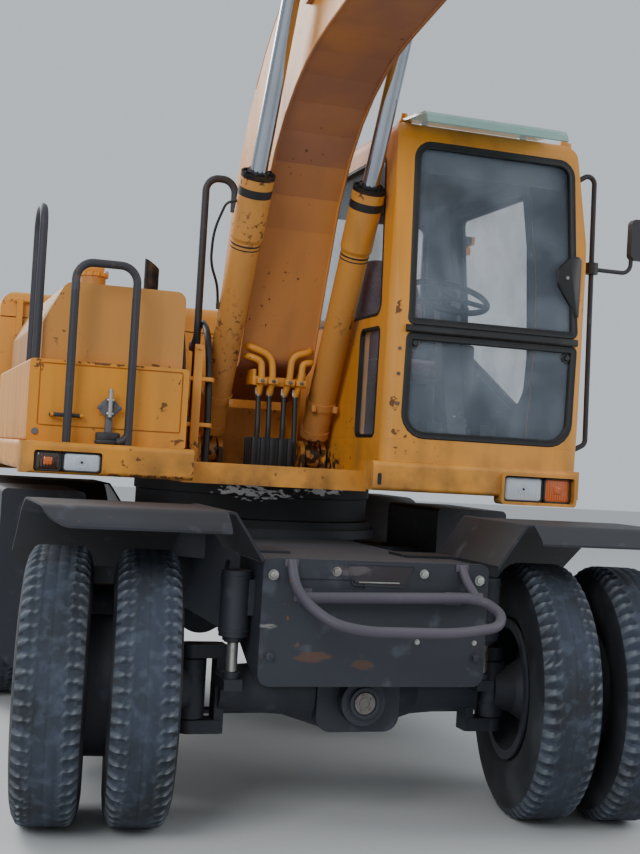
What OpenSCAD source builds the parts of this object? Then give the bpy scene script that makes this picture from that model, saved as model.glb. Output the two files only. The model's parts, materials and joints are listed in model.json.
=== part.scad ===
// Wheeled excavator, drawn in millimetres. +Z is up and the machine's front faces -Y.
// The slew axis stands at x = 0, y = 0 of the drawing, and place() moves the whole to its record frame.

/* [Wheels] */
// Radius of a tyre over its tread
tyre_r = 505; // [495:1:515]
// Width of a tyre at its widest
tyre_w = 254; // [246:1:260]
// Centre of the outer twin from the middle of the machine
twin_outer_x = 1118; // [1112:1:1126]
// Centre of the inner twin from the middle of the machine
twin_inner_x = 795; // [790:1:800]
// Front axle ahead of the slew axis
axle_front_y = 1550; // [1535:1:1565]
// Rear axle behind the slew axis
axle_rear_y = 1130; // [1110:1:1150]
// Kingpin from the middle of the machine
kingpin_x = 615; // [611:1:618]
// How far the front wheels stand steered in the rest pose, in degrees
steer_rest = -9; // [-11:0.5:-7]

/* [Chassis] */
// Width of the box beam under the turntable
frame_w = 640; // [610:5:660]
// Underside of the box beam
frame_z0 = 690; // [680:1:700]
// Top of the box beam
frame_z1 = 1010; // [1000:1:1020]
// Width of the front box and its plate
front_box_w = 884; // [790:2:904]
// Lower edge of the front plate
front_box_z0 = 560; // [550:1:575]
// Upper edge of the front plate
front_box_z1 = 1020; // [1012:1:1035]
// Face of the front plate ahead of the slew axis
front_face_y = 1840; // [1825:1:1855]
// Outer radius of the turntable's lower ring
ring_r = 585; // [570:1:600]
// Top of the fenders
fender_z1 = 1180; // [1170:1:1190]
// Length of a side box between the axles
side_box_l = 680; // [640:5:720]

/* [Upper body] */
// Width of the upper body
body_w = 2490; // [2470:2:2500]
// Underside of the deck
deck_z0 = 1250; // [1246:1:1256]
// Top of the deck and of the bumpers
deck_z1 = 1390; // [1384:1:1396]
// Front of the bumpers ahead of the slew axis
bumper_y = 1095; // [1080:1:1110]
// Width of the deck to the right of the boom
side_deck_w = 695; // [680:1:705]
// Tail radius of the counterweight
tail_r = 2150; // [2130:5:2170]
// Top of the engine hood
hood_z1 = 2160; // [2140:5:2200]
// Top of the tool box, where the tank stands
tool_box_z1 = 1725; // [1710:5:1740]
// Top of the tank
tank_z1 = 2055; // [2040:5:2075]

/* [Cab] */
// Inner side of the cab, next to the boom
cab_x0 = 278; // [274:1:282]
// Widest point of the cab's outer side
cab_x1 = 1243; // [1236:1:1250]
// Front of the cab ahead of the slew axis
cab_front_y = 1075; // [1065:1:1085]
// Back of the cab behind the slew axis
cab_back_y = 560; // [540:1:575]
// Top of the cab's roof
cab_z1 = 2890; // [2870:1:2910]
// Thickness of the cab's walls
cab_t = 45; // [40:1:50]

/* [Boom] */
// Middle plane of the boom and of the whole digging gear
gear_x = -60; // [-66:1:-55]
// Width of the boom's box
boom_w = 350; // [340:2:354]
// Depth of the boom at its knee
boom_depth = 580; // [550:5:600]
// Radius of the boom cylinders' barrels
boom_barrel_r = 65; // [60:1:67]
// Radius of the boom cylinders' rods
boom_rod_r = 37; // [34:1:40]

/* [Arm and bucket] */
// Width of the arm's box
arm_w = 280; // [270:2:290]
// Length of the arm from the boom's pin to the bucket's pin
arm_l = 2150; // [2120:5:2180]
// Width of the bucket
bucket_w = 900; // [860:5:940]
// Radius of the arm and bucket cylinders' barrels
tool_barrel_r = 58; // [54:1:62]
// Radius of the arm and bucket cylinders' rods
tool_rod_r = 34; // [31:1:37]
// Number of teeth on the bucket's edge
tooth_n = 5; // [4:1:6]

/* [Hidden] */

// Moves the drawing so that the middle of its box is the origin of the record frame.
place_x = -187.8;
place_y = 1817.5;

// Least gap between pieces that move against each other.
gap = 6;
// Radial play of a pin or shaft in its bore.
play = 0.3;
// Distance of a fixed piece from the face that it sits on.
seat = 0.3;
// Overlap of the solids of one piece, so that they join.
lap = 1;
// Segments of a large round, of a middle one and of a small one.
fn_big = 64;
fn_mid = 32;
fn_small = 20;
// Angle of one facet of a rounded outline, in degrees.
facet = 10;

yellow = [0.75, 0.50, 0.18];
dark = [0.12, 0.14, 0.17];
bare = [0.45, 0.44, 0.42];
chrome = [0.62, 0.64, 0.68];

// Wheels.
rim_r = 257;
rim_t = 14;
bead_w = 190;
rim_flange = 22;
rim_x0 = twin_inner_x - bead_w / 2 - 26;
rim_x1 = twin_outer_x + bead_w / 2 + 26;
disc_x = (twin_inner_x + twin_outer_x) / 2;
disc_t = 18;
hub_r = 150;
drum_r = 200;
drum_x0 = 772;
spindle_r = 60;
spindle_l = 130;
kingpin_r = 30;
axle_eye_r = 48;
// Steering arm's end from its kingpin, inwards and back.
steer_arm = [45, 190];
// Underside of the steering arm from the axle.
steer_arm_z = -100;

// Body.
half_w = body_w / 2;
well_x0 = -half_w + side_deck_w;
well_z = deck_z1 - 75;
hood_y0 = cab_back_y + 45;
tail_y0 = 1500;
cab_z0 = deck_z1 + 8;
cab_wall_z0 = cab_z0 + 90;
cab_wall_z1 = cab_z1 - 78;
sill_z = 1955;
hinge_r = 9;
// Cab door between its posts.
door_y0 = -640;
door_y1 = 330;

// Pins of the boom as [y, z] in the rest pose, with their radius.
pin_r = 40;
boom_foot = [-80, 1760];
boom_mid = [-1340, 3290];
boom_tip = [-4100, 3570];
boom_cyl_foot = [-300, 1395];
boom_top_lug = [-1650, 3800];
boom_cyl_x = 254;
eye_w = 50;
lug_t = 36;
boom_cyl_l = 1340;
arm_cyl_l = 1350;
bucket_cyl_l = 980;

// Arm and bucket. Along runs down the arm from the boom's pin, and off towards its front.
arm_dir = [-0.4226, -0.9063];
arm_side = [-0.9063, 0.4226];
function on_arm(along, off) = boom_tip + along * arm_dir + off * arm_side;
arm_tip = on_arm(arm_l, 0);
arm_top_lug = on_arm(-480, 60);
arm_cyl_lug = on_arm(120, 330);
rocker_pin = on_arm(arm_l - 390, 30);
rocker_end = on_arm(arm_l - 350, 440);
bucket_lug = on_arm(arm_l + 80, 330);
rocker_pin_r = 35;
rocker_x = arm_w / 2 + gap;
ear_t = 40;

module place() {
  translate([place_x, place_y, 0]) children();
}

module box(a, b) {
  translate(a) cube(b - a);
}

function unit(v) = v / norm(v);
function towards(p, q, d) = p + unit(q - p) * d;
function turn(a, b) = a[0] * b[1] - a[1] * b[0] > 0 ? 1 : -1;

// The arc that rounds corner q between p and s by radius r.
function corner(p, q, s, r) = r == 0 ? [q] : let(
    u = unit(p - q), v = unit(s - q), h = acos(u * v) / 2,
    c = q + unit(u + v) * r / sin(h), a = q + u * r / tan(h) - c,
    n = max(2, ceil((180 - 2 * h) / facet)), step = turn(q - p, s - q) * (180 - 2 * h) / n
  ) [for (i = [0 : n]) c + r * [cos(atan2(a[1], a[0]) + step * i), sin(atan2(a[1], a[0]) + step * i)]];

// An outline from rows of [x, y, radius of the corner].
function rounded(rows) = let(n = len(rows), p = [for (k = rows) [k[0], k[1]]])
  [for (i = [0 : n - 1]) each corner(p[(i + n - 1) % n], p[i], p[(i + 1) % n], rows[i][2])];

// An outline in Y and Z, thick from x0 to x1.
module slab(x0, x1, pts) {
  translate([x0, 0, 0]) rotate([90, 0, 90]) linear_extrude(x1 - x0) polygon(pts);
}

// An outline in X and Z, thick from y0 to y1.
module wall(y0, y1, pts) {
  translate([0, y1, 0]) rotate([90, 0, 0]) linear_extrude(y1 - y0) polygon(pts);
}

// An outline in X and Y, thick from z0 to z1.
module plate(z0, z1, pts) {
  translate([0, 0, z0]) linear_extrude(z1 - z0) polygon(pts);
}

// A rectangle with its corners rounded by r.
function window(a, b, r) = rounded([[a[0], a[1], r], [b[0], a[1], r], [b[0], b[1], r], [a[0], b[1], r]]);

// A cylinder along X between x0 and x1, centred at [y, z].
module xcyl(x0, x1, at, r, fn = fn_mid) {
  translate([x0, at[0], at[1]]) rotate([0, 90, 0]) cylinder(h = x1 - x0, r = r, $fn = fn);
}

// A cylinder along Y between y0 and y1, centred at [x, z].
module ycyl(y0, y1, at, r, fn = fn_mid) {
  translate([at[0], y1, at[1]]) rotate([90, 0, 0]) cylinder(h = y1 - y0, r = r, $fn = fn);
}

// A round bar in a plane of constant x, from p to q given as [y, z].
module bar(x, p, q, r, fn = fn_mid) {
  d = q - p;
  translate([x, p[0], p[1]]) rotate([atan2(-d[0], d[1]), 0, 0]) cylinder(h = norm(d), r = r, $fn = fn);
}

// A bent tube of radius r through points of the XY plane, with bends of radius b.
module tube(pts, r, b) {
  n = len(pts);
  trims = [for (i = [0 : n - 1]) i == 0 || i == n - 1 ? 0 :
    b / tan(acos(unit(pts[i - 1] - pts[i]) * unit(pts[i + 1] - pts[i])) / 2)];
  for (i = [0 : n - 2]) {
    u = unit(pts[i + 1] - pts[i]);
    a = pts[i] + u * trims[i];
    translate([a[0], a[1], 0]) rotate([0, 90, atan2(u[1], u[0])])
      cylinder(h = norm(pts[i + 1] - pts[i]) - trims[i] - trims[i + 1], r = r, $fn = fn_small);
  }
  for (i = [1 : n - 2]) {
    u = unit(pts[i - 1] - pts[i]);
    v = unit(pts[i + 1] - pts[i]);
    h = acos(u * v) / 2;
    c = pts[i] + unit(u + v) * b / sin(h);
    from = turn(-u, v) > 0 ? pts[i] + u * trims[i] - c : pts[i] + v * trims[i] - c;
    translate([c[0], c[1], 0]) rotate([0, 0, atan2(from[1], from[0])])
      rotate_extrude(angle = 180 - 2 * h, $fn = fn_mid) translate([b, 0]) circle(r = r, $fn = fn_small);
  }
}

// Turns the children about the kingpin of one side.
module steered(side) {
  translate([side * kingpin_x, -axle_front_y, 0]) rotate([0, 0, steer_rest])
    translate([-side * kingpin_x, axle_front_y, 0]) children();
}

module tyre_ring() {
  // rows of [radius, distance from the middle]
  half = [[rim_r, bead_w / 2], [rim_r + 45, bead_w / 2 + 20], [tyre_r - 115, tyre_w / 2],
    [tyre_r - 45, tyre_w / 2 - 10], [tyre_r - 8, tyre_w / 2 - 34], [tyre_r, tyre_w / 2 - 56]];
  rotate_extrude($fn = 36) polygon(concat(half, [for (i = [5 : -1 : 0]) [half[i][0], -half[i][1]]]));
}

module tyres(side, y) {
  color([0.16, 0.17, 0.18]) for (x = [twin_inner_x, twin_outer_x])
    translate([side * x, y, tyre_r]) rotate([0, 90, 0]) tyre_ring();
}

module rims(side, y) {
  r_in = rim_r - rim_t;
  color([0.30, 0.31, 0.33]) translate([0, y, tyre_r]) rotate([0, side * 90, 0]) difference() {
    union() {
      // rows of [radius, distance from the middle of the machine]
      rotate_extrude($fn = fn_big) polygon([
        [r_in, rim_x0], [rim_r + rim_flange, rim_x0], [rim_r + rim_flange, rim_x0 + 10], [rim_r, rim_x0 + 16],
        [rim_r, rim_x1 - 16], [rim_r + rim_flange, rim_x1 - 10], [rim_r + rim_flange, rim_x1], [r_in, rim_x1],
        [r_in, disc_x + 40], [hub_r + 30, disc_x + disc_t], [hub_r - 10, disc_x + disc_t],
        [hub_r - 10, disc_x], [hub_r + 34, disc_x], [r_in, disc_x + 12]
      ]);
      rotate_extrude($fn = fn_mid) polygon([
        [0, drum_x0], [drum_r, drum_x0], [drum_r, disc_x - 40], [hub_r + 15, disc_x - 6], [hub_r, disc_x],
        [hub_r, disc_x + 130], [hub_r - 28, disc_x + 158], [70, disc_x + 158], [70, disc_x + 190], [0, disc_x + 190]
      ]);
    }
    translate([0, 0, drum_x0 - lap]) cylinder(h = spindle_l + gap, r = spindle_r + play, $fn = fn_mid);
    for (i = [0 : 7]) rotate([0, 0, i * 45]) translate([(r_in + hub_r) / 2 + 8, 0, disc_x - 10])
      cylinder(h = 80, r = 17, $fn = 16);
  }
}

module chassis_frame() {
  hw = frame_w / 2;
  color(dark) difference() {
    union() {
      // rows of [y, z, corner radius]
      slab(-hw, hw, rounded([
        [-front_face_y + 219, frame_z0, 0], [-axle_front_y + 420, frame_z0, 60], [-axle_front_y + 520, frame_z0 - 70, 60],
        [axle_rear_y - 420, frame_z0 - 70, 60], [axle_rear_y - 320, frame_z0, 60], [1421, frame_z0, 0],
        [1421, frame_z1, 0], [-front_face_y + 219, frame_z1, 0]
      ]));
      for (side = [-1, 1]) box([side > 0 ? 0 : -870, -160, frame_z0 + 50], [side > 0 ? 870 : 0, 160, frame_z1 - 50]);
      translate([0, 0, frame_z1 - lap]) cylinder(h = 40 + lap, r = ring_r + 35, $fn = fn_big);
      translate([0, 0, frame_z1 - 120]) cylinder(h = 121, r = ring_r - 60, $fn = fn_big);
    }
    translate([0, 0, frame_z0 - 80]) cylinder(h = 500, r = 190, $fn = fn_mid);
    for (side = [-1, 1]) for (y = [-1120, -860, 640, 900])
      xcyl(side > 0 ? hw - 18 : -hw - lap, side > 0 ? hw + lap : -hw + 18, [y, frame_z0 + 175], 62);
  }
}

front_hole_x = front_box_w / 2 - 38;
front_hole_z = [front_box_z0 + 110, front_box_z1 - 60];

module front_box() {
  hw = front_box_w / 2;
  y0 = -front_face_y;
  color([0.18, 0.20, 0.23]) difference() {
    union() {
      // plate, with rows of [x, z, corner radius]
      wall(y0, y0 + 28, rounded([
        [-hw, front_box_z0, 45], [hw, front_box_z0, 45], [hw, front_box_z1, 30], [-hw, front_box_z1, 30]
      ]));
      for (side = [-1, 1]) slab(side * (hw - 12) - 12, side * (hw - 12) + 12, rounded([
        [y0 + 27, front_box_z0 + 20, 0], [y0 + 150, front_box_z0 + 60, 80], [y0 + 330, frame_z0 + 20, 0],
        [y0 + 330, front_box_z1 - 20, 0], [y0 + 27, front_box_z1 - 20, 0]
      ]));
      box([-hw + 11, y0 + 27, frame_z1 - 30], [hw - 11, y0 + 330, frame_z1 + 1]);
      for (x = [-160, 120]) box([x, y0 + 27, frame_z0 + 10], [x + 40, y0 + 219 - seat, frame_z1 - 29]);
    }
    for (side = [-1, 1]) for (z = front_hole_z) ycyl(y0 - lap, y0 + 29, [side * front_hole_x, z], 13, fn_small);
    wall(y0 - lap, y0 + 6, window([-hw + 110, front_box_z1 - 110], [-hw + 390, front_box_z1 - 70], 18));
    box([-frame_w / 2 - seat, y0 + 219 - seat, 500], [frame_w / 2 + seat, y0 + 400, frame_z1 + 2]);
  }
}

step_r = 20;
// Axle rams beside the front box.
ram_x = front_box_w / 2 + 60;
ram_y = -axle_front_y - 150;
ram_foot_z = tyre_r + 60;

module front_step() {
  y0 = -front_face_y - step_r - seat;
  color([0.36, 0.34, 0.38]) {
    // the straight tube and the bow, as [x, y]
    translate([0, y0, 900]) rotate([0, 90, 0]) translate([0, 0, -330]) cylinder(h = 660, r = step_r, $fn = fn_small);
    translate([0, 0, 900]) tube([[-400, -front_face_y - seat], [-400, y0 - 210], [390, y0 - 210], [390, -front_face_y - seat]], step_r, 130);
    for (x = [-300, 0, 300]) translate([x, y0, 900]) rotate([90, 0, 0]) cylinder(h = 210, r = 12, $fn = fn_small);
  }
}

module rear_box() {
  hw = front_box_w / 2;
  y0 = 1421 + seat;
  color([0.18, 0.20, 0.23]) difference() {
    union() {
      wall(y0, y0 + 150, rounded([
        [-hw, front_box_z0 + 60, 40], [hw, front_box_z0 + 60, 40], [hw, frame_z1, 30], [-hw, frame_z1, 30]
      ]));
      plate(650, 690, rounded([[-110, y0 + 149, 0], [110, y0 + 149, 0], [75, y0 + 290, 70], [-75, y0 + 290, 70]]));
      plate(770, 810, rounded([[-110, y0 + 149, 0], [110, y0 + 149, 0], [75, y0 + 290, 70], [-75, y0 + 290, 70]]));
    }
    translate([0, y0 + 220, 600]) cylinder(h = 300, r = 20, $fn = fn_small);
    for (side = [-1, 1]) wall(y0 + 130, y0 + 151, window([side * 300 - 70, 850], [side * 300 + 70, 920], 10));
  }
  color([0.5, 0.05, 0.05]) for (side = [-1, 1])
    wall(y0 + 130 - lap, y0 + 157, window([side * 300 - 60, 858], [side * 300 + 60, 912], 12));
}

module turntable() {
  // rows of [radius, z]
  color([0.55, 0.50, 0.42]) rotate_extrude($fn = fn_big) polygon([
    [ring_r - 110, frame_z1 + 40 + seat], [ring_r + 20, frame_z1 + 40 + seat], [ring_r + 20, frame_z1 + 75],
    [ring_r - 10, frame_z1 + 80], [ring_r - 10, deck_z0 - 60], [ring_r, deck_z0 - 54], [ring_r, deck_z0 - gap],
    [ring_r - 110, deck_z0 - gap]
  ]);
}

// A fender's shape from the side, as rows of [y from its axle, z, corner radius].
function fender_rows(t) = [
  [-420, fender_z1 - 60 - t, 60], [-340, fender_z1 - t, 60], [250, fender_z1 - t, 340], [690, fender_z1 - 290 - t, 0]
];

module fender(side, y) {
  top = rounded(concat([[-480, fender_z1 - 300, 0]], fender_rows(0), [[800, fender_z1 - 700, 0]]));
  low = rounded(concat([[-480, fender_z1 - 300, 0]], fender_rows(8), [[800, fender_z1 - 700, 0]]));
  slope_x0 = front_box_w / 2 + 14;
  slope_x1 = slope_x0 + 140;
  foot_z = frame_z1 + seat;
  translate([0, y, 0]) mirror([side < 0 ? 1 : 0, 0, 0]) {
    intersection() {
      difference() {
        slab(slope_x1, half_w - 4, top);
        slab(slope_x1 - lap, half_w, low);
        box([0, -700, 300], [2000, -419, 2000]);
        box([0, 689, 300], [2000, 1200, 2000]);
      }
      plate(0, 2000, rounded([[slope_x1, -419, 0], [half_w - 4, -419, 90], [half_w - 4, 689, 90], [slope_x1, 689, 0]]));
    }
    // inner slope, as rows of [x, z, corner radius], and the foot on the frame
    wall(-340, 240, rounded([
      [slope_x1 + lap, fender_z1, 0], [slope_x1 - 30, fender_z1, 15], [slope_x0, foot_z + 10, 0], [slope_x0, foot_z, 0],
      [slope_x0 + 6, foot_z, 0], [slope_x1 - 24, fender_z1 - 8, 15], [slope_x1 + lap, fender_z1 - 8, 0]
    ]));
    box([frame_w / 2 - 80, 50, foot_z], [slope_x0 + 6, 240, foot_z + 10]);
  }
}

module fenders() {
  color([0.20, 0.22, 0.25]) for (side = [-1, 1]) {
    fender(side, -axle_front_y);
    translate([0, axle_rear_y, 0]) mirror([0, 1, 0]) fender(side, 0);
  }
}

module side_boxes() {
  hl = side_box_l / 2;
  x0 = 870 + seat;
  color([0.16, 0.18, 0.20]) for (side = [-1, 1]) mirror([side < 0 ? 1 : 0, 0, 0]) difference() {
    // rows of [x, z, corner radius]
    wall(-hl, hl, rounded([[x0, 380, 30], [half_w - 60, 380, 60], [half_w, 500, 40], [half_w, 1170, 25], [x0, 1170, 25]]));
    // two steps
    for (z = [560, 830]) box([half_w - 170, -hl + 70, z], [half_w + 1, hl - 70, z + 170]);
  }
}

module front_axle() {
  color([0.10, 0.11, 0.13]) difference() {
    translate([0, -axle_front_y, 0]) {
      // tapered beam halves, as rows of [radius, distance from the middle]
      for (side = [-1, 1]) translate([0, 0, tyre_r]) rotate([0, side * 90, 0]) rotate_extrude($fn = fn_mid)
        polygon([[0, 100], [150, 100], [100, 260], [82, kingpin_x - 96], [0, kingpin_x - 96]]);
      wall(-150, 150, rounded([
        [-165, tyre_r - 140, 60], [165, tyre_r - 140, 60], [165, frame_z0 - 40, 30], [-165, frame_z0 - 40, 30]
      ]));
      ycyl(-205, -149, [0, tyre_r - 20], 86);
      ycyl(-216, -204, [0, tyre_r - 20], 56);
      for (side = [-1, 1]) {
        box([side * 120 - 30, -130, frame_z0 - 60], [side * 120 + 30, 130, frame_z0 - seat]);
        box([side * ram_x - 34, -190, ram_foot_z - 40], [side * ram_x + 34, 10, ram_foot_z]);
        translate([side * (kingpin_x - 104), 0, 0])
          box([-18, -axle_eye_r + 8, tyre_r - 165], [18, axle_eye_r - 8, tyre_r + 165]);
        for (z = [tyre_r - 165, tyre_r + 115]) {
          translate([side * kingpin_x, 0, z]) cylinder(h = 50, r = axle_eye_r, $fn = fn_mid);
          mirror([side < 0 ? 1 : 0, 0, 0])
            box([kingpin_x - 110, -axle_eye_r + 2, z], [kingpin_x, axle_eye_r - 2, z + 50]);
        }
      }
    }
    for (side = [-1, 1]) translate([side * kingpin_x, -axle_front_y, tyre_r - 200])
      cylinder(h = 400, r = kingpin_r + play, $fn = fn_mid);
  }
}

module axle_rams() {
  color([0.16, 0.17, 0.20]) for (side = [-1, 1]) translate([side * ram_x, ram_y, 0]) {
    translate([0, 0, 720]) cylinder(h = 240, r = 55, $fn = fn_mid);
    translate([0, 0, 705]) cylinder(h = 16, r = 40, $fn = fn_mid);
    translate([0, 0, ram_foot_z + seat]) cylinder(h = 720 - ram_foot_z, r = 20, $fn = fn_small);
    translate([0, 0, ram_foot_z + seat]) cylinder(h = 24, r = 32, $fn = fn_mid);
    mirror([side < 0 ? 1 : 0, 0, 0]) box([front_box_w / 2 + seat - ram_x, -40, 800], [0, 40, 930]);
  }
}

module rear_axle() {
  color([0.10, 0.11, 0.13]) translate([0, axle_rear_y, 0]) {
    for (side = [-1, 1]) {
      translate([0, 0, tyre_r]) rotate([0, side * 90, 0]) rotate_extrude($fn = fn_mid)
        polygon([[0, 90], [160, 90], [112, 230], [100, drum_x0 - 40], [125, drum_x0 - 30], [125, drum_x0 - gap],
          [spindle_r, drum_x0 - gap], [spindle_r, drum_x0 + spindle_l - gap], [0, drum_x0 + spindle_l - gap]]);
      box([side * 250 - 50, -110, tyre_r], [side * 250 + 50, 110, frame_z0 - seat]);
    }
    ycyl(-190, 150, [0, tyre_r], 150);
    ycyl(-300, -189, [0, tyre_r], 62);
  }
}

module drive_shafts() {
  color([0.14, 0.14, 0.15]) {
    box([-120, 150, 540], [120, 620, frame_z0 - 70 - seat]);
    ycyl(-axle_front_y + 150 + seat, -axle_front_y + 185, [0, tyre_r], 48);
    bar(0, [-axle_front_y + 180, tyre_r], [151, 565], 32);
    bar(0, [619, 555], [axle_rear_y - 330, tyre_r], 32);
    ycyl(axle_rear_y - 335, axle_rear_y - 300 - seat, [0, tyre_r], 48);
    ycyl(-60, 151, [0, 565], 60);
    ycyl(619, 680, [0, 560], 60);
  }
}

module knuckle(side) {
  color([0.10, 0.11, 0.13]) steered(side) translate([side * kingpin_x, -axle_front_y, tyre_r]) {
    translate([0, 0, -115 + gap]) cylinder(h = 230 - 2 * gap, r = 55, $fn = fn_mid);
    translate([0, 0, -162]) cylinder(h = 324, r = kingpin_r, $fn = fn_mid);
    rotate([0, side * 90, 0]) rotate_extrude($fn = fn_mid) polygon([
      [0, 0], [80, 0], [92, 80], [125, drum_x0 - kingpin_x - 30], [125, drum_x0 - kingpin_x - gap],
      [spindle_r, drum_x0 - kingpin_x - gap], [spindle_r, drum_x0 - kingpin_x + spindle_l - gap],
      [0, drum_x0 - kingpin_x + spindle_l - gap]
    ]);
    // steering arm, as rows of [x, y, corner radius]
    mirror([side < 0 ? 1 : 0, 0, 0]) plate(steer_arm_z, steer_arm_z + 36, rounded([
      [-40, 20, 0], [30, 20, 0], [-steer_arm[0] + 32, steer_arm[1] + 30, 28], [-steer_arm[0] - 32, steer_arm[1] + 30, 28]
    ]));
  }
}

// The pin of one side's steering arm, which stands turned with its wheel.
function steer_pin(side) = [side * kingpin_x, -axle_front_y] + side * steer_arm[0] * [-cos(steer_rest), -sin(steer_rest)]
  + steer_arm[1] * [-sin(steer_rest), cos(steer_rest)];

module track_rod() {
  run = steer_pin(1) - steer_pin(-1);
  color([0.12, 0.12, 0.13]) {
    for (side = [-1, 1]) translate([steer_pin(side)[0], steer_pin(side)[1], tyre_r + steer_arm_z - gap - 30])
      cylinder(h = 30 + gap - seat, r = 26, $fn = fn_small);
    translate([steer_pin(-1)[0], steer_pin(-1)[1], tyre_r + steer_arm_z - gap - 15])
      rotate([0, 90, atan2(run[1], run[0])]) cylinder(h = norm(run), r = 13, $fn = fn_small);
  }
}

module upper_frame() {
  color(yellow) difference() {
    union() {
      // side decks, with rows of [x, z, corner radius]
      wall(-bumper_y + 121, tail_y0 - seat, rounded([
        [-half_w, deck_z0 + 20, 25], [well_x0, deck_z0 + 20, 0], [well_x0, deck_z1, 0], [-half_w, deck_z1, 25]
      ]));
      wall(-bumper_y + 121, tail_y0 - seat, rounded([
        [cab_x0 - 2, deck_z0 + 20, 0], [half_w, deck_z0 + 20, 25], [half_w, deck_z1, 25], [cab_x0 - 2, deck_z1, 0]
      ]));
      box([well_x0 - lap, -bumper_y + 240, deck_z0], [cab_x0 - 1, tail_y0 - seat, well_z]);
      box([well_x0 - lap, -bumper_y + 200, deck_z0], [cab_x0 - 1, -bumper_y + 241, well_z + 25]);
      translate([0, 0, frame_z1 + 60]) cylinder(h = deck_z0 - frame_z1 - 59, r = ring_r - 110 - play, $fn = fn_big);
      // boom foot cheeks, with rows of [y, z, corner radius]
      for (x = [gear_x - boom_w / 2 - gap - lug_t, gear_x + boom_w / 2 + gap]) slab(x, x + lug_t, rounded([
        [-200, well_z - lap, 0], [-230, boom_foot[1] + 60, 90], [40, boom_foot[1] + 150, 120], [430, 1560, 120], [560, well_z - lap, 0]
      ]));
      box([gear_x - boom_w / 2 - gap - lap, -60, well_z - lap], [gear_x + boom_w / 2 + gap + lap, -48, boom_foot[1] - 150]);
      // boom cylinder foot lugs
      for (s = [-1, 1]) for (d = [-62, 42]) slab(gear_x + s * boom_cyl_x + d, gear_x + s * boom_cyl_x + d + 20, rounded([
        [boom_cyl_foot[0] - 75, well_z - lap, 0], [boom_cyl_foot[0] - 66, boom_cyl_foot[1] + 66, 60],
        [boom_cyl_foot[0] + 66, boom_cyl_foot[1] + 66, 60], [boom_cyl_foot[0] + 75, well_z - lap, 0]
      ]));
    }
    xcyl(gear_x - 230, gear_x + 230, boom_foot, pin_r + play);
  }
  color(bare) for (s = [-1, 1])
    xcyl(gear_x + s * boom_cyl_x - 61, gear_x + s * boom_cyl_x + 61, boom_cyl_foot, pin_r);
}

// A bumper's shape from the side, as rows of [y, z, corner radius].
bumper_rows = [
  [-bumper_y, deck_z0 + 12, 18], [-bumper_y + 121 - seat, deck_z0 + 12, 0],
  [-bumper_y + 121 - seat, deck_z1, 0], [-bumper_y, deck_z1, 22]
];
// Lamp boxes in the bumpers, as rows of [inner x, outer x, lower z, upper z, how far the box stands out].
lamp_boxes = [
  [-half_w + 335, -half_w + 37, deck_z0 + 7, deck_z1 - 22, 0],
  [half_w - 411, half_w - 38, deck_z0 - 21, deck_z1 - 19, 16]
];
lamp_back_y = -bumper_y + 40;
lens_t = 30;

module bumpers() {
  color(yellow) difference() {
    union() {
      intersection() {
        union() {
          slab(-half_w, well_x0, rounded(bumper_rows));
          slab(cab_x0 - 45, half_w, rounded(bumper_rows));
        }
        plate(0, 2000, rounded([
          [-half_w, -bumper_y, 55], [half_w, -bumper_y, 55], [half_w, 0, 0], [-half_w, 0, 0]
        ]));
      }
      for (b = lamp_boxes) if (b[4] > 0) wall(-bumper_y - b[4], -bumper_y + 60, lamp_window(b, 0, 1, 18));
    }
    for (b = lamp_boxes) wall(-bumper_y - b[4] - lap, lamp_back_y, lamp_window(b, 14, 1, 12));
  }
}

// A lamp box's outline set in by o, as far as the given share of its width from its inner end.
function lamp_window(b, o, share, r) = window(
  [min(b[0], b[0] + (b[1] - b[0]) * share) + o, b[2] + o],
  [max(b[0], b[0] + (b[1] - b[0]) * share) - o, b[3] - o], r
);

// A lens with a bowed face over part of a lamp box, from one share of its width to another.
module lens(b, from, to) {
  w = b[1] - b[0];
  x0 = min(b[0] + w * from, b[0] + w * to);
  x1 = max(b[0] + w * from, b[0] + w * to);
  intersection() {
    wall(lamp_back_y - seat - lens_t, lamp_back_y - seat, window([x0, b[2] + 20], [x1, b[3] - 20], 12));
    plate(b[2], b[3], rounded([
      [x0, lamp_back_y, 0], [x1, lamp_back_y, 0], [x1, lamp_back_y - lens_t - seat, 22], [x0, lamp_back_y - lens_t - seat, 22]
    ]));
  }
}

module lamps() {
  for (b = lamp_boxes) {
    color([0.85, 0.85, 0.8]) lens(b, 0.07, 0.56);
    color([0.75, 0.31, 0.1]) lens(b, 0.6, 0.93);
  }
}

module counterweight() {
  color(yellow) intersection() {
    // rows of [y, z, corner radius]
    slab(-half_w + 15, half_w - 15, rounded([
      [tail_y0, deck_z0 - 30, 0], [tail_r - 170, deck_z0 - 30, 60], [tail_r + 10, deck_z0 + 110, 60],
      [tail_r + 10, 1830, 110], [tail_r - 110, 2000, 70], [tail_y0, 2000, 0]
    ]));
    translate([0, 0, deck_z0 - 60]) cylinder(h = 1000, r = tail_r, $fn = 128);
    // softens the corners between the sides and the tail
    plate(0, 3000, rounded([
      [-half_w + 15, tail_y0, 0], [half_w - 15, tail_y0, 0], [half_w - 15, tail_r - 470, 150],
      [half_w - 185, tail_r + 1, 0], [-half_w + 185, tail_r + 1, 0], [-half_w + 15, tail_r - 470, 150]
    ]));
  }
}

hood_w = half_w - 12;
hood_wall_z = 2020;
// Hinge of the hood's lid, as [y, z].
lid_hinge = [hood_y0 - 14, hood_z1 - 50];

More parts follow.
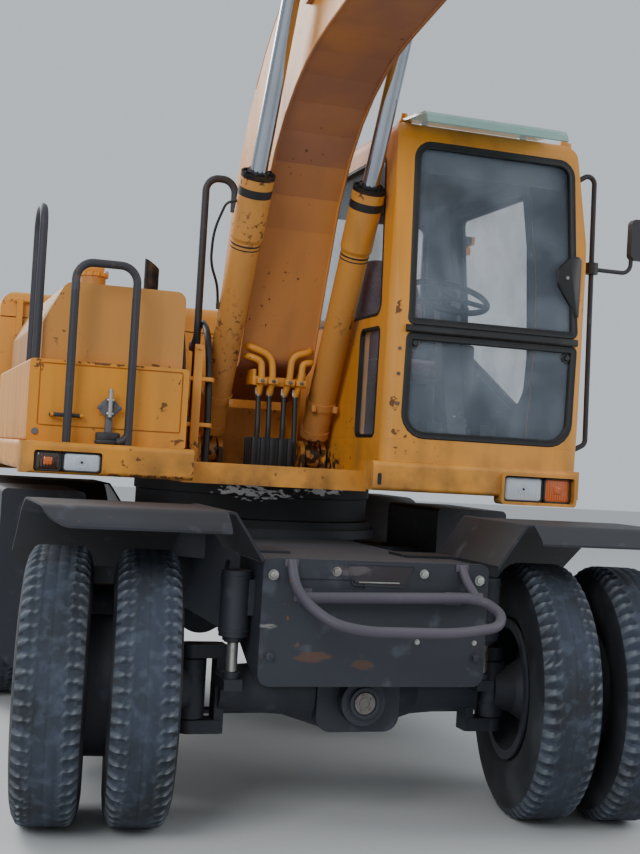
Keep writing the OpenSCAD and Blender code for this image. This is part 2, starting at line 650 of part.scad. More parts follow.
module hood() {
  color(yellow) {
    difference() {
      box([-hood_w, hood_y0, deck_z1 + seat], [hood_w, tail_y0 - seat, hood_wall_z]);
      box([-hood_w + 25, hood_y0 + 25, deck_z1 - lap], [hood_w - 25, tail_y0 - 25, hood_wall_z + lap]);
      // louvres of both sides
      for (side = [-1, 1]) for (i = [0 : 11]) translate([side * (hood_w - 12), 0, deck_z1 + 150 + i * 38])
        box([-14, hood_y0 + 130, 0], [14, hood_y0 + 560, 18]);
      for (side = [-1, 1]) translate([side * hood_w, 0, 0])
        box([-4, hood_y0 + 640, deck_z1 + 90], [4, hood_y0 + 646, hood_wall_z - 60]);
    }
    for (x = [-hood_w + 80, hood_w - 170]) difference() {
      union() {
        box([x, lid_hinge[0] - 14, hood_wall_z - 90], [x + 30, hood_y0 + lap, hood_wall_z - 10]);
        slab(x, x + 30, rounded([
          [lid_hinge[0] - 14, hood_wall_z - 60, 0], [lid_hinge[0] + 14, hood_wall_z - 60, 0],
          [lid_hinge[0] + 14, lid_hinge[1] + 14, 13], [lid_hinge[0] - 14, lid_hinge[1] + 14, 13]
        ]));
      }
      xcyl(x - 1, x + 31, lid_hinge, hinge_r + play, fn_small);
    }
  }
}

module hood_lid() {
  z0 = hood_wall_z + gap;
  y0 = hood_y0 + gap;
  y1 = tail_y0 - gap;
  // rows of [x, z, corner radius]
  function cap(o, r) = rounded([
    [-hood_w + o, z0 - (o > 0 ? lap : 0), 0], [hood_w - o, z0 - (o > 0 ? lap : 0), 0],
    [hood_w - o, hood_z1 - o, r], [-hood_w + o, hood_z1 - o, r]
  ]);
  color(yellow) {
    difference() {
      intersection() {
        wall(y0, y1, cap(0, 90));
        slab(-hood_w, hood_w, rounded([[y0, z0, 0], [y1, z0, 0], [y1, hood_z1, 60], [y0, hood_z1, 60]]));
      }
      wall(y0 + 20, y1 - 20, cap(20, 70));
      // air slots of the top
      for (i = [0 : 9]) translate([-820 + i * 62, 0, 0]) box([0, y0 + 180, hood_z1 - 30], [26, y1 - 180, hood_z1 + 1]);
    }
  }
  color(bare) for (x = [-hood_w + 40, hood_w - 200]) {
    xcyl(x + 20, x + 160, lid_hinge, hinge_r, fn_small);
    box([x + 90, lid_hinge[0] - 5, lid_hinge[1] - 5], [x + 130, y0 + 8, lid_hinge[1] + 5]);
  }
}

module engine() {
  color([0.3, 0.3, 0.3]) box([-620, hood_y0 + 140, deck_z1 + seat], [560, tail_y0 - 100, 1960]);
}

module exhaust() {
  color([0.2, 0.17, 0.15]) translate([-430, hood_y0 + 160, 0]) difference() {
    union() {
      translate([0, 0, hood_z1 + seat]) cylinder(h = 260, r = 40, $fn = fn_mid);
      translate([0, 0, hood_z1 + seat]) cylinder(h = 12, r = 66, $fn = fn_mid);
    }
    translate([0, 0, hood_z1 + 230]) rotate([0, 35, 0]) box([-200, -100, 0], [200, 100, 200]);
    translate([0, 0, hood_z1 + 30]) cylinder(h = 400, r = 36, $fn = fn_mid);
  }
}

tank_y0 = -bumper_y + 225;
tank_y1 = hood_y0 - 30;

module tank() {
  // rows of [x, z, corner radius]
  color([0.72, 0.45, 0.16]) {
    difference() {
      wall(tank_y0, tank_y1, rounded([
        [-half_w + 78, tool_box_z1 + seat, 10], [well_x0 - 25, tool_box_z1 + seat, 10], [well_x0 - 25, tank_z1, 40],
        [-half_w + 165, tank_z1, 50], [-half_w + 78, tool_box_z1 + 160, 40]
      ]));
    }
    translate([-half_w + 350, -300, tank_z1 - lap]) cylinder(h = 70, r = 45, $fn = fn_mid);
    translate([-half_w + 350, -300, tank_z1 + 60]) cylinder(h = 45, r = 58, $fn = fn_mid);
  }
}

module tool_box() {
  x0 = -half_w + 30;
  x1 = well_x0 - 5;
  y0 = -bumper_y + 165;
  color(yellow) {
    difference() {
      wall(y0, tank_y1, rounded([
        [x0, deck_z1 + seat, 10], [x1, deck_z1 + seat, 10], [x1, tool_box_z1, 15], [x0, tool_box_z1, 15]
      ]));
      // the cover's groove, and the hollow that the cover closes
      difference() {
        wall(y0 - lap, y0 + 8, window([x0 + 40, deck_z1 + 62], [x1 - 24, tool_box_z1 - 14], 12));
        wall(y0 - 2, y0 + 9, window([x0 + 46, deck_z1 + 68], [x1 - 30, tool_box_z1 - 20], 10));
      }
    }
    // handle, hasp and its bracket
    translate([x0 + 90, y0 - 30, deck_z1 + 110]) rotate([0, 90, 0]) cylinder(h = 130, r = 8, $fn = 16);
    for (x = [x0 + 94, x0 + 206]) box([x, y0 - 30, deck_z1 + 104], [x + 10, y0 + lap, deck_z1 + 116]);
    ycyl(y0 - 26, y0 + lap, [(x0 + x1) / 2, deck_z1 + 145], 34);
    ycyl(y0 - 40, y0 - 25, [(x0 + x1) / 2, deck_z1 + 145], 12, 16);
    box([(x0 + x1) / 2 - 45, y0 - 30, deck_z1 + 20], [(x0 + x1) / 2 + 30, y0 + lap, deck_z1 + 48]);
  }
}

rail_r = 17;
// The tall rail beside the boom, as [x, y].
tall_rail = [well_x0 + 113, -500];

module handrails() {
  y = -bumper_y + 100;
  color([0.12, 0.12, 0.13]) {
    // U rail on the deck, as [x, z]
    translate([0, y, 0]) rotate([90, 0, 0]) tube([
      [-half_w + 185, deck_z1 + seat], [-half_w + 185, tank_z1 + 70], [-half_w + 435, tank_z1 + 70], [-half_w + 435, deck_z1 + seat]
    ], rail_r, 70);
    // loop rail on the tool box, as [y, z]
    translate([-half_w + 54, 0, 0]) rotate([90, 0, 90]) tube([
      [-bumper_y + 200, tool_box_z1 + seat], [-bumper_y + 200, 2360], [-bumper_y + 420, 2360], [-bumper_y + 420, tool_box_z1 + seat]
    ], rail_r, 90);
    // tall rail beside the boom, as [x, z]
    translate([0, tall_rail[1], 0]) rotate([90, 0, 0]) tube([
      [tall_rail[0], well_z + seat], [tall_rail[0], 2635], [tall_rail[0] + 136, 2635], [tall_rail[0] + 136, 2490]
    ], rail_r, 60);
    box([well_x0 - 5 + seat, tall_rail[1] - 10, 1500], [tall_rail[0] - 8, tall_rail[1] + 10, 1540]);
  }
}

// The cab's outlines set in by o, as rows with the corner radius last.
function cab_side(o) = rounded([
  [-cab_front_y + o, cab_z0 - 100, 0], [cab_back_y - o, cab_z0 - 100, 0], [cab_back_y - o, cab_z1 - o, max(10, 90 - o)],
  [-cab_front_y + 50 + o, cab_z1 - o, max(10, 90 - o)], [-cab_front_y + o, 2050, 500]
]);
function cab_face(o) = rounded([
  [cab_x0 + o, cab_z0 - 100, 0], [cab_x1 - 30 - o, cab_z0 - 100, 0], [cab_x1 - o, 1960, 900], [cab_x1 - 8 - o, 2300, 700],
  [cab_x1 - 85 - o, cab_z1 - o, max(10, 80 - o)], [cab_x0 + 6 + o, cab_z1 - o, max(10, 60 - o)]
]);
function cab_plan(o) = rounded([
  [cab_x0 + o, -cab_front_y + o, max(8, 60 - o)], [cab_x1 - o, -cab_front_y + o, max(8, 80 - o)],
  [cab_x1 - o, cab_back_y - o, max(8, 60 - o)], [cab_x0 + o, cab_back_y - o, max(8, 60 - o)]
]);

module cab_body(o) {
  intersection() {
    slab(cab_x0 - 1, cab_x1 + 1, cab_side(o));
    wall(-cab_front_y - 1, cab_back_y + 1, cab_face(o));
    plate(cab_z0 - 100, cab_z1 + 1, cab_plan(o));
  }
}

module cab_shell() {
  difference() {
    cab_body(0);
    cab_body(cab_t);
  }
}

// Windows as rows of [x or y, z, corner radius].
front_windows = [
  [
    [cab_x0 + 83, 1988, 30], [cab_x1 - 57, 1988, 30],
    [cab_x1 - 93, cab_z1 - 90, 80], [cab_x0 + 89, cab_z1 - 90, 80]
  ],
  [[cab_x0 + 75, 1495, 110], [cab_x1 - 64, 1495, 110], [cab_x1 - 57, 1952, 25], [cab_x0 + 80, 1952, 25]]
];
back_windows = [[
  [cab_x0 + 100, 2080, 60], [cab_x1 - 150, 2080, 60], [cab_x1 - 150, cab_z1 - 150, 60], [cab_x0 + 100, cab_z1 - 150, 60]
]];
side_windows = [
  [
    [-cab_front_y + 120, 2030, 60], [cab_back_y - 120, 2030, 60],
    [cab_back_y - 120, cab_z1 - 130, 60], [-cab_front_y + 170, cab_z1 - 130, 60]
  ],
  [
    [-cab_front_y + 120, 1490, 35], [-cab_front_y + 375, 1490, 35],
    [-cab_front_y + 375, 1983, 35], [-cab_front_y + 120, 1983, 35]
  ]
];
function middle(rows) = [(rows[0][0] + rows[1][0]) / 2, (rows[0][1] + rows[2][1]) / 2];
// A window's outline with its edges moved in by o.
function opening(rows, o) = rounded([
  for (p = rows) [p[0] + o * sign(middle(rows)[0] - p[0]), p[1] + o * sign(middle(rows)[1] - p[1]), p[2]]
]);
// The cab door's outline and its window in y and z, both set in by o.
door_z1 = cab_z1 - 100;
function door_edge(o) = window([door_y0 + o, cab_wall_z0 + 20 + o], [door_y1 - o, door_z1 - o], 50);
function door_pane(o) = rounded([
  [door_y0 + 80 + o, 1620 + o, 120], [door_y1 - 80 - o, 1990 + o, 120],
  [door_y1 - 80 - o, door_z1 - 50 - o, 60], [door_y0 + 80 + o, door_z1 - 50 - o, 60]
]);
// Hinge of the cab door, as [x, y].
door_hinge = [cab_x1 + 12, door_y1 + 12];
hinge_zs = [1640, 2560];

module cab_floor() {
  color(yellow) intersection() {
    cab_body(0);
    box([cab_x0 - 1, -cab_front_y - 1, deck_z1 + seat], [cab_x1 + 1, cab_back_y + 1, cab_wall_z0]);
  }
}

module cab_front() {
  color(yellow) difference() {
    intersection() {
      cab_shell();
      box([cab_x0 - 1, -cab_front_y - 1, cab_wall_z0 + seat], [cab_x1 + 1, -cab_front_y + 85, cab_wall_z1]);
    }
    for (w = front_windows) wall(-cab_front_y - 1, -cab_front_y + 84, opening(w, 0));
  }
}

module cab_roof() {
  color(yellow) intersection() {
    cab_shell();
    box([cab_x0 - 1, -cab_front_y - 1, cab_wall_z1 + seat], [cab_x1 + 1, cab_back_y + 1, cab_z1 + 1]);
  }
}

module cab_inner_side() {
  color(yellow) difference() {
    intersection() {
      cab_shell();
      box([cab_x0 - 1, -cab_front_y + 85 + seat, cab_wall_z0 + seat], [cab_x0 + 85, cab_back_y - 85, cab_wall_z1]);
    }
    for (w = side_windows) slab(cab_x0 - 1, cab_x0 + 90, opening(w, 0));
  }
}

module cab_door_side() {
  color(yellow) difference() {
    union() {
      intersection() {
        cab_shell();
        box([cab_x1 - 200, -cab_front_y + 85 + seat, cab_wall_z0 + seat], [cab_x1 + 1, cab_back_y - 85, cab_wall_z1]);
      }
      for (z = hinge_zs) box([cab_x1 - 60, door_hinge[1] - 12, z], [cab_x1 + 25, door_hinge[1] + 16, z + 40]);
    }
    slab(cab_x1 - 201, cab_x1 + 2, door_edge(0));
    box([cab_x1 - 300, -cab_front_y, cab_z0], [cab_x1 - cab_t - 80, cab_back_y, cab_z1]);
    cab_body(cab_t);
    for (z = hinge_zs) translate([door_hinge[0], door_hinge[1], z - 1]) cylinder(h = 42, r = hinge_r + play, $fn = fn_small);
  }
}

module cab_back() {
  color(yellow) difference() {
    intersection() {
      cab_shell();
      box([cab_x0 - 1, cab_back_y - 85 + seat, cab_wall_z0 + seat], [cab_x1 + 1, cab_back_y + 1, cab_wall_z1]);
    }
    for (w = back_windows) wall(cab_back_y - 84, cab_back_y + 1, opening(w, 0));
  }
}

module cab_door() {
  color(yellow) {
    difference() {
      intersection() {
        cab_shell();
        slab(cab_x1 - 199, cab_x1 + 1, door_edge(gap));
      }
      slab(cab_x1 - 300, cab_x1 + 2, door_pane(0));
    }
    for (z = hinge_zs) {
      translate([door_hinge[0], door_hinge[1], z + 1]) cylinder(h = 90, r = hinge_r, $fn = fn_small);
      difference() {
        box([cab_x1 - 40, door_y1 - 70, z + 41 + gap], [cab_x1 + 16, door_y1 - gap, z + 90]);
        cab_body(cab_t - 5);
      }
      box([cab_x1 + 4, door_y1 - gap - lap, z + 41 + gap], [cab_x1 + 16, door_hinge[1], z + 90]);
    }
    // handle
    translate([cab_x1 + 20, door_y0 + 70, 1800]) cylinder(h = 140, r = 9, $fn = 16);
    difference() {
      for (z = [1806, 1922]) box([cab_x1 - 30, door_y0 + 62, z], [cab_x1 + 20, door_y0 + 78, z + 12]);
      cab_body(cab_t - 5);
    }
  }
}

// Panes lie within the walls, and each is as the wall is curved.
module panes() {
  difference() {
    cab_body(18);
    cab_body(24);
  }
}

module cab_glass() {
  color([0.4, 0.5, 0.5, 0.35]) intersection() {
    panes();
    union() {
      for (w = front_windows) wall(-cab_front_y - 1, -cab_front_y + 84, opening(w, seat));
      for (w = back_windows) wall(cab_back_y - 84, cab_back_y + 1, opening(w, seat));
      for (w = side_windows) slab(cab_x0 - 1, cab_x0 + 70, opening(w, seat));
    }
  }
}

module door_glass() {
  color([0.4, 0.5, 0.5, 0.35]) intersection() {
    panes();
    slab(cab_x1 - 199, cab_x1 + 1, door_pane(seat));
  }
}

module visor() {
  y0 = -cab_front_y + 30;
  // rows of [y, z, corner radius]
  color([0.1, 0.35, 0.33]) slab(cab_x0 + 65, cab_x1 - 230, rounded([
    [y0 + 140, cab_z1 + 26, 0], [y0 - 150, cab_z1 + 2, 60], [y0 - 175, cab_z1 - 52, 0], [y0 - 165, cab_z1 - 54, 0],
    [y0 - 142, cab_z1 - 8, 50], [y0 + 140, cab_z1 + 15, 0]
  ]));
  color(dark) for (x = [cab_x0 + 150, cab_x1 - 330]) box([x, y0 + 108, cab_z1 + seat], [x + 30, y0 + 136, cab_z1 + 18]);
}

seat_x = (cab_x0 + cab_x1) / 2 - 40;

module seat() {
  color([0.25, 0.10, 0.14]) {
    box([seat_x - 150, -230, cab_wall_z0 + seat], [seat_x + 150, 130, cab_wall_z0 + 300]);
    // cushion and back, as rows of [y, z, corner radius]
    slab(seat_x - 240, seat_x + 240, rounded([
      [-330, cab_wall_z0 + 299, 40], [150, cab_wall_z0 + 299, 40], [150, cab_wall_z0 + 400, 50], [-330, cab_wall_z0 + 430, 50]
    ]));
    slab(seat_x - 230, seat_x + 230, rounded([
      [90, cab_wall_z0 + 360, 30], [200, cab_wall_z0 + 340, 40], [300, cab_wall_z0 + 960, 50], [190, cab_wall_z0 + 980, 50]
    ]));
    for (s = [-1, 1]) box([seat_x + s * 290 - 55, -260, cab_wall_z0 + seat], [seat_x + s * 290 + 55, 170, cab_wall_z0 + 520]);
  }
}

module controls() {
  color([0.15, 0.15, 0.16]) {
    slab(seat_x - 45, seat_x + 45, rounded([
      [-860, cab_wall_z0 + seat, 0], [-740, cab_wall_z0 + seat, 0], [-600, cab_wall_z0 + 640, 30], [-660, cab_wall_z0 + 660, 30]
    ]));
    translate([seat_x, -636, cab_wall_z0 + 650]) rotate([28, 0, 0]) {
      cylinder(h = 60, r = 26, $fn = fn_small);
      translate([0, 0, 46]) {
        rotate_extrude($fn = fn_mid) translate([190, 0]) circle(r = 14, $fn = 14);
        for (a = [90, 210, 330]) rotate([0, 0, a]) box([20, -14, -8], [188, 14, 8]);
        cylinder(h = 22, r = 44, $fn = fn_small);
      }
    }
    for (s = [-1, 1]) {
      translate([seat_x + s * 290, -200, cab_wall_z0 + 528]) rotate([12, 0, 0]) cylinder(h = 180, r = 12, $fn = fn_small);
      translate([seat_x + s * 290, -200, cab_wall_z0 + 520 + seat]) cylinder(h = 16, r = 34, $fn = fn_small);
      box([seat_x + s * 130 - 40, -900, cab_wall_z0 + seat], [seat_x + s * 130 + 40, -790, cab_wall_z0 + 90]);
    }
  }
}

module mirror_stay() {
  y = -cab_front_y + 130;
  color([0.12, 0.12, 0.13]) difference() {
    translate([0, y, 0]) rotate([90, 0, 0]) {
      // stay and arm, as [x, z]
      tube([[cab_x1 - 100, 2690], [cab_x1 + 60, 2790], [cab_x1 + 84, 1520], [cab_x1 - 60, 1450]], 12, 34);
      tube([[cab_x1 + 87, 2335], [cab_x1 + 275, 2335], [cab_x1 + 275, 2420]], 10, 45);
    }
    cab_body(-seat);
  }
  color([0.12, 0.12, 0.13]) {
    translate([cab_x1 + 70, y, 2312]) cylinder(h = 52, r = 30, $fn = fn_mid);
    wall(y - 20, y + 20, window([cab_x1 + 262, 2400], [cab_x1 + 432, 2590], 25));
  }
}

module hose_box() {
  x0 = gear_x - 130;
  x1 = gear_x + 70;
  y = -570;
  color([0.08, 0.08, 0.09]) difference() {
    union() {
      box([x0, y - 70, well_z + seat], [x1, y + 70, 1465]);
      for (i = [0 : 4]) box([x0 - 8, y - 78, well_z + 20 + i * 26], [x1 + 8, y + 78, well_z + 32 + i * 26]);
    }
    for (i = [0 : 3]) translate([x0 + 40 + i * 40, y, 1405]) cylinder(h = 100, r = 17, $fn = fn_small);
  }
}

// The boom from the side, as rows of [y, z, corner radius].
boom_knee = [-931, 2957];
boom_rows = [
  [boom_foot[0] - 40, boom_foot[1] - 112, 60], [-520, 1800, 90], [boom_knee[0], boom_knee[1], 1000],
  [boom_tip[0] + 60, boom_tip[1] - 128, 60], [boom_tip[0] - 105, boom_tip[1] - 70, 70], [boom_tip[0] - 95, boom_tip[1] + 90, 70],
  [boom_tip[0] + 60, boom_tip[1] + 128, 60],
  [boom_knee[0] + 0.745 * boom_depth, boom_knee[1] + 0.905 * boom_depth, 1500], [boom_foot[0] + 115, boom_foot[1] + 60, 100],
  [boom_foot[0] + 70, boom_foot[1] - 105, 70]
];

module boom() {
  hw = boom_w / 2;
  color(yellow) difference() {
    union() {
      slab(gear_x - hw, gear_x + hw, rounded(boom_rows));
      for (s = [-1, 1]) {
        xcyl(gear_x + (s > 0 ? hw - lap : -hw - 24), gear_x + (s > 0 ? hw + 24 : -hw + lap), boom_mid, 84);
      }
      // lugs of the arm cylinder
      for (x = [gear_x - eye_w - gap - lug_t, gear_x + eye_w + gap]) slab(x, x + lug_t, rounded([
        [boom_top_lug[0] - 92, 3550, 0], [boom_top_lug[0] - 70, boom_top_lug[1] + 70, 66],
        [boom_top_lug[0] + 62, boom_top_lug[1] + 70, 66], [boom_top_lug[0] + 250, 3480, 0]
      ]));
    }
    box([gear_x - arm_w / 2 - gap, boom_tip[0] - 200, boom_tip[1] - 300], [gear_x + arm_w / 2 + gap, boom_tip[0] + 400, boom_tip[1] + 300]);
  }
  color(bare) {
    xcyl(gear_x - hw - gap - lug_t, gear_x + hw + gap + lug_t, boom_foot, pin_r);
    xcyl(gear_x - hw - 8, gear_x + hw + 8, boom_tip, pin_r);
    xcyl(gear_x - eye_w - gap - lug_t - 8, gear_x + eye_w + gap + lug_t + 8, boom_top_lug, pin_r);
  }
}

// A cylinder's barrel at x from its foot to a length l on the line to its eye, with the half width of its foot.
module barrel(x, foot, eye, l, r, rod, w) {
  difference() {
    union() {
      bar(x, foot, towards(foot, eye, 130), 34);
      bar(x, towards(foot, eye, 112), towards(foot, eye, l), r);
      bar(x, towards(foot, eye, l - 85), towards(foot, eye, l), r + 8);
      bar(x, towards(foot, eye, 112), towards(foot, eye, 150), r + 5);
      xcyl(x - w, x + w, foot, 62);
    }
    xcyl(x - w - 20, x + w + 20, foot, pin_r + play);
    bar(x, towards(foot, eye, 190), towards(foot, eye, l + 10), rod + play);
  }
}

module rod(x, foot, eye, from, r, w) {
  bar(x, towards(foot, eye, from), eye, r);
  xcyl(x - w, x + w, eye, 62);
}

module boom_barrels() {
  color([0.72, 0.48, 0.17]) for (s = [-1, 1])
    barrel(gear_x + s * boom_cyl_x, boom_cyl_foot, boom_mid, boom_cyl_l, boom_barrel_r, boom_rod_r, 34);
}

module boom_rods() {
  color(chrome) for (s = [-1, 1]) {
    rod(gear_x + s * boom_cyl_x, boom_cyl_foot, boom_mid, 640, boom_rod_r, 32);
    xcyl(gear_x + s * boom_cyl_x - 38, gear_x + s * boom_cyl_x + 38, boom_mid, 46);
  }
}

// The arm from the side, as rows of [along, off, corner radius].
arm_rows = [
  [-600, 150, 60], [-600, -5, 60], [-90, -175, 140], [arm_l + 90, -92, 70], [arm_l + 95, 80, 70],
  [260, 245, 260], [-160, 235, 160]
];

module arm() {
  hw = arm_w / 2;
  color(yellow) difference() {
    union() {
      slab(gear_x - hw, gear_x + hw, [for (p = rounded(arm_rows)) on_arm(p[0], p[1])]);
      for (x = [gear_x - eye_w - gap - lug_t, gear_x + eye_w + gap]) slab(x, x + lug_t, [
        for (p = rounded([[-140, 190, 0], [54, 396, 60], [186, 396, 60], [214, 190, 0]])) on_arm(p[0], p[1])
      ]);
    }
    slab(gear_x - eye_w - gap, gear_x + eye_w + gap, [on_arm(-800, -300), on_arm(-200, -300), on_arm(-200, 400), on_arm(-800, 400)]);
    xcyl(gear_x - 300, gear_x + 300, boom_tip, pin_r + play);
    xcyl(gear_x - 300, gear_x + 300, arm_tip, pin_r + play);
    xcyl(gear_x - 300, gear_x + 300, rocker_pin, rocker_pin_r + play);
  }
  color(bare)
    xcyl(gear_x - eye_w - gap - lug_t - 8, gear_x + eye_w + gap + lug_t + 8, arm_cyl_lug, pin_r);
}

module arm_barrel() {
  color([0.72, 0.48, 0.17]) barrel(gear_x, boom_top_lug, arm_top_lug, arm_cyl_l, tool_barrel_r, tool_rod_r, eye_w);
}

module arm_rod() {
  color(chrome) rod(gear_x, boom_top_lug, arm_top_lug, 620, tool_rod_r, eye_w);
}

module bucket_barrel() {
  color([0.72, 0.48, 0.17]) barrel(gear_x, arm_cyl_lug, rocker_end, bucket_cyl_l, tool_barrel_r, tool_rod_r, eye_w);
}

module bucket_rod() {
  color(chrome) rod(gear_x, arm_cyl_lug, rocker_end, 420, tool_rod_r, eye_w);
}

module bucket_rocker() {
  color([0.2, 0.2, 0.2]) for (s = [-1, 1]) {
    x = gear_x + (s > 0 ? rocker_x : -rocker_x - 30);
    slab(x, x + 30, [for (p = rounded([
      [arm_l - 450, -30, 58], [arm_l - 330, -30, 58], [arm_l - 290, 500, 58], [arm_l - 410, 500, 58]
    ])) on_arm(p[0], p[1])]);
  }
  color(bare) xcyl(gear_x - rocker_x - 38, gear_x + rocker_x + 38, rocker_pin, rocker_pin_r);
}

module bucket_link() {
  mid = (rocker_end + bucket_lug) / 2;
  color([0.2, 0.2, 0.2]) difference() {
    union() {
      for (x = [gear_x - eye_w - gap - 32, gear_x + eye_w + gap]) slab(x, x + 32, [for (p = rounded([
        [arm_l - 410, 490, 50], [arm_l - 400, 380, 50], [arm_l + 100, 270, 56], [arm_l + 140, 380, 56]
      ])) on_arm(p[0], p[1])]);
      xcyl(gear_x - eye_w - gap - lap, gear_x + eye_w + gap + lap, mid, 42);
    }
    xcyl(gear_x - 120, gear_x + 120, bucket_lug, rocker_pin_r + play);
  }
}

// The bucket from the side, as rows of [along from its pin, off, corner radius].
bucket_rows = [[110, -150, 20], [150, 400, 90], [620, 600, 300], [980, 330, 330], [1090, -330, 0]];
edge_dir = unit([1090, -330] - [980, 330]);
edge_out = [-edge_dir[1], edge_dir[0]];
function on_edge(a, b) = let(p = [arm_l + 1090, -330] + a * edge_dir + b * edge_out) on_arm(p[0], p[1]);

module bucket() {
  hw = bucket_w / 2;
  t = 22;
  color([0.25, 0.24, 0.24]) {
    difference() {
      slab(gear_x - hw, gear_x + hw, [for (p = rounded(bucket_rows)) on_arm(arm_l + p[0], p[1])]);
      slab(gear_x - hw + t, gear_x + hw - t, [for (p = rounded([
        [130, -200, 0], [168, 380, 70], [615, 576, 280], [958, 318, 310], [1066, -332, 0], [1090, -420, 0]
      ])) on_arm(arm_l + p[0], p[1])]);
    }
    for (s = [-1, 1]) {
      x = gear_x + (s > 0 ? rocker_x : -rocker_x - ear_t);
      slab(x, x + ear_t, [for (p = rounded([
        [130, -145, 20], [-40, -95, 70], [-95, 40, 70], [20, 420, 70], [150, 430, 60], [220, 430, 0], [220, -100, 0]
      ])) on_arm(arm_l + p[0], p[1])]);
    }
    // teeth, each as rows of [along the edge, out of it]
    for (i = [0 : tooth_n - 1]) {
      x = gear_x - hw + 45 + i * (bucket_w - 90) / (tooth_n - 1);
      slab(x - 42, x + 42, [on_edge(-150, -26), on_edge(-150, 14), on_edge(50, 16), on_edge(180, -6), on_edge(180, -14), on_edge(50, -46)]);
    }
  }
  color(bare) {
    xcyl(gear_x - rocker_x - ear_t - 8, gear_x + rocker_x + ear_t + 8, arm_tip, pin_r);
    xcyl(gear_x - rocker_x - ear_t - 8, gear_x + rocker_x + ear_t + 8, bucket_lug, rocker_pin_r);
  }
}

place() chassis_frame();
place() front_box();
place() front_step();
place() rear_box();
place() turntable();
place() fenders();
place() side_boxes();
place() front_axle();
place() rear_axle();
place() axle_rams();
place() drive_shafts();
place() track_rod();
place() knuckle(1);  // knuckle_l
place() knuckle(-1);  // knuckle_r
place() steered(1) tyres(1, -axle_front_y);  // tyres_fl
place() steered(-1) tyres(-1, -axle_front_y);  // tyres_fr
place() tyres(1, axle_rear_y);  // tyres_rl
place() tyres(-1, axle_rear_y);  // tyres_rr
place() steered(1) rims(1, -axle_front_y);  // rims_fl
place() steered(-1) rims(-1, -axle_front_y);  // rims_fr
place() rims(1, axle_rear_y);  // rims_rl
place() rims(-1, axle_rear_y);  // rims_rr
place() upper_frame();
place() bumpers();
place() lamps();
place() counterweight();
place() hood();
place() hood_lid();
place() engine();
place() exhaust();
place() tank();
place() tool_box();
place() handrails();
place() cab_floor();
place() cab_front();
place() cab_inner_side();
place() cab_door_side();
place() cab_back();
place() cab_roof();
place() cab_door();
place() cab_glass();
place() door_glass();
place() visor();
place() seat();
place() controls();
place() mirror_stay();
place() hose_box();
place() boom();
place() boom_barrels();
place() boom_rods();
place() arm();
place() arm_barrel();
place() arm_rod();
place() bucket();
place() bucket_barrel();
place() bucket_rod();
place() bucket_rocker();
place() bucket_link();
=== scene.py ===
"""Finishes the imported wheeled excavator: enamel, rubber, glass, tyre tread, seals, bolts, pipes, hoses and a studio."""

import json
from math import atan2, cos, pi, radians, sin, tan

import bmesh
import bpy
from bpy.props import FloatProperty, FloatVectorProperty, IntProperty, PointerProperty
from mathutils import Matrix, Vector
from mathutils.bvhtree import BVHTree


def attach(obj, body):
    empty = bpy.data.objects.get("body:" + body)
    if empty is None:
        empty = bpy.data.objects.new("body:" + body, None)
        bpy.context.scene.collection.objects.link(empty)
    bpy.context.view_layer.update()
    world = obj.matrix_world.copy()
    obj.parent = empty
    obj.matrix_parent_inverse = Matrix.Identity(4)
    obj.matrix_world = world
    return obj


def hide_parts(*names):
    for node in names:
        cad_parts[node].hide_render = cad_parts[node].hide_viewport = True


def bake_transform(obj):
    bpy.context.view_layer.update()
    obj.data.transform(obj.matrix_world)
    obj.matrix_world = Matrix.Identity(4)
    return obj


bl_info = {
    "name": "Wheeled excavator finish",
    "version": (1, 0, 0),
    "blender": (4, 5, 0),
    "location": "View3D > Sidebar > Excavator",
    "description": "Dresses the frame of a wheeled excavator with paint, rubber, glass and fittings",
    "category": "Object",
}

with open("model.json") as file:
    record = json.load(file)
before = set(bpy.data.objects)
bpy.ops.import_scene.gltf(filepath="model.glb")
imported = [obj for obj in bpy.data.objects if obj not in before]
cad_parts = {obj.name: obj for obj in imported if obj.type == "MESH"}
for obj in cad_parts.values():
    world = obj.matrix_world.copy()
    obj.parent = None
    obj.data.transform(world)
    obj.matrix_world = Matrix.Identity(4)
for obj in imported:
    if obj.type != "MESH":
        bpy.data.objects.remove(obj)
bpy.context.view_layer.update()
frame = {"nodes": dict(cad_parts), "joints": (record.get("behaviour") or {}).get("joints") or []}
NODES = frame["nodes"]
JOINTS = {joint["name"]: joint for joint in frame["joints"]}
SLEW = Vector(JOINTS["slew"]["pos_m"])
MM = 0.001
RIGHT, LEFT = Vector((1, 0, 0)), Vector((-1, 0, 0))
BACK, FRONT = Vector((0, 1, 0)), Vector((0, -1, 0))
UP, DOWN = Vector((0, 0, 1)), Vector((0, 0, -1))


def at(x, y, z):
    """A point from millimetres off the slew axis and above the ground, with the machine's front at -y."""
    return Vector((SLEW.x + x * MM, SLEW.y + y * MM, z * MM))


def upright(y):
    """Lays 2D points of (x, z) on the plane across the machine at y."""
    return lambda point: at(point[0], y, point[1])


def lengthwise(x):
    """Lays 2D points of (y, z) on the plane along the machine at x."""
    return lambda point: at(x, point[0], point[1])


def pin(joint):
    """A joint's place."""
    return Vector(JOINTS[joint]["pos_m"])


# ---------------------------------------------------------------- sizes and colours

# The drawing's own measures, in millimetres: the cab's faces, the middle of the digging gear, the front plate's,
# the bumper's and the tool box's front faces, and places outside the machine from which rays find its faces.
CAB_X0, CAB_X1, CAB_FRONT_Y, CAB_BACK_Y, CAB_TOP_Z = 278, 1243, -1075, 560, 2890
GEAR_X = -60
PLATE_Y = -1840
BUMPER_Y = -1095
TOOL_BOX_Y = -930
OUTSIDE, OVERHEAD, UNDERNEATH, CAB_OUTSIDE_Y = 3000, 5000, 200, -1600


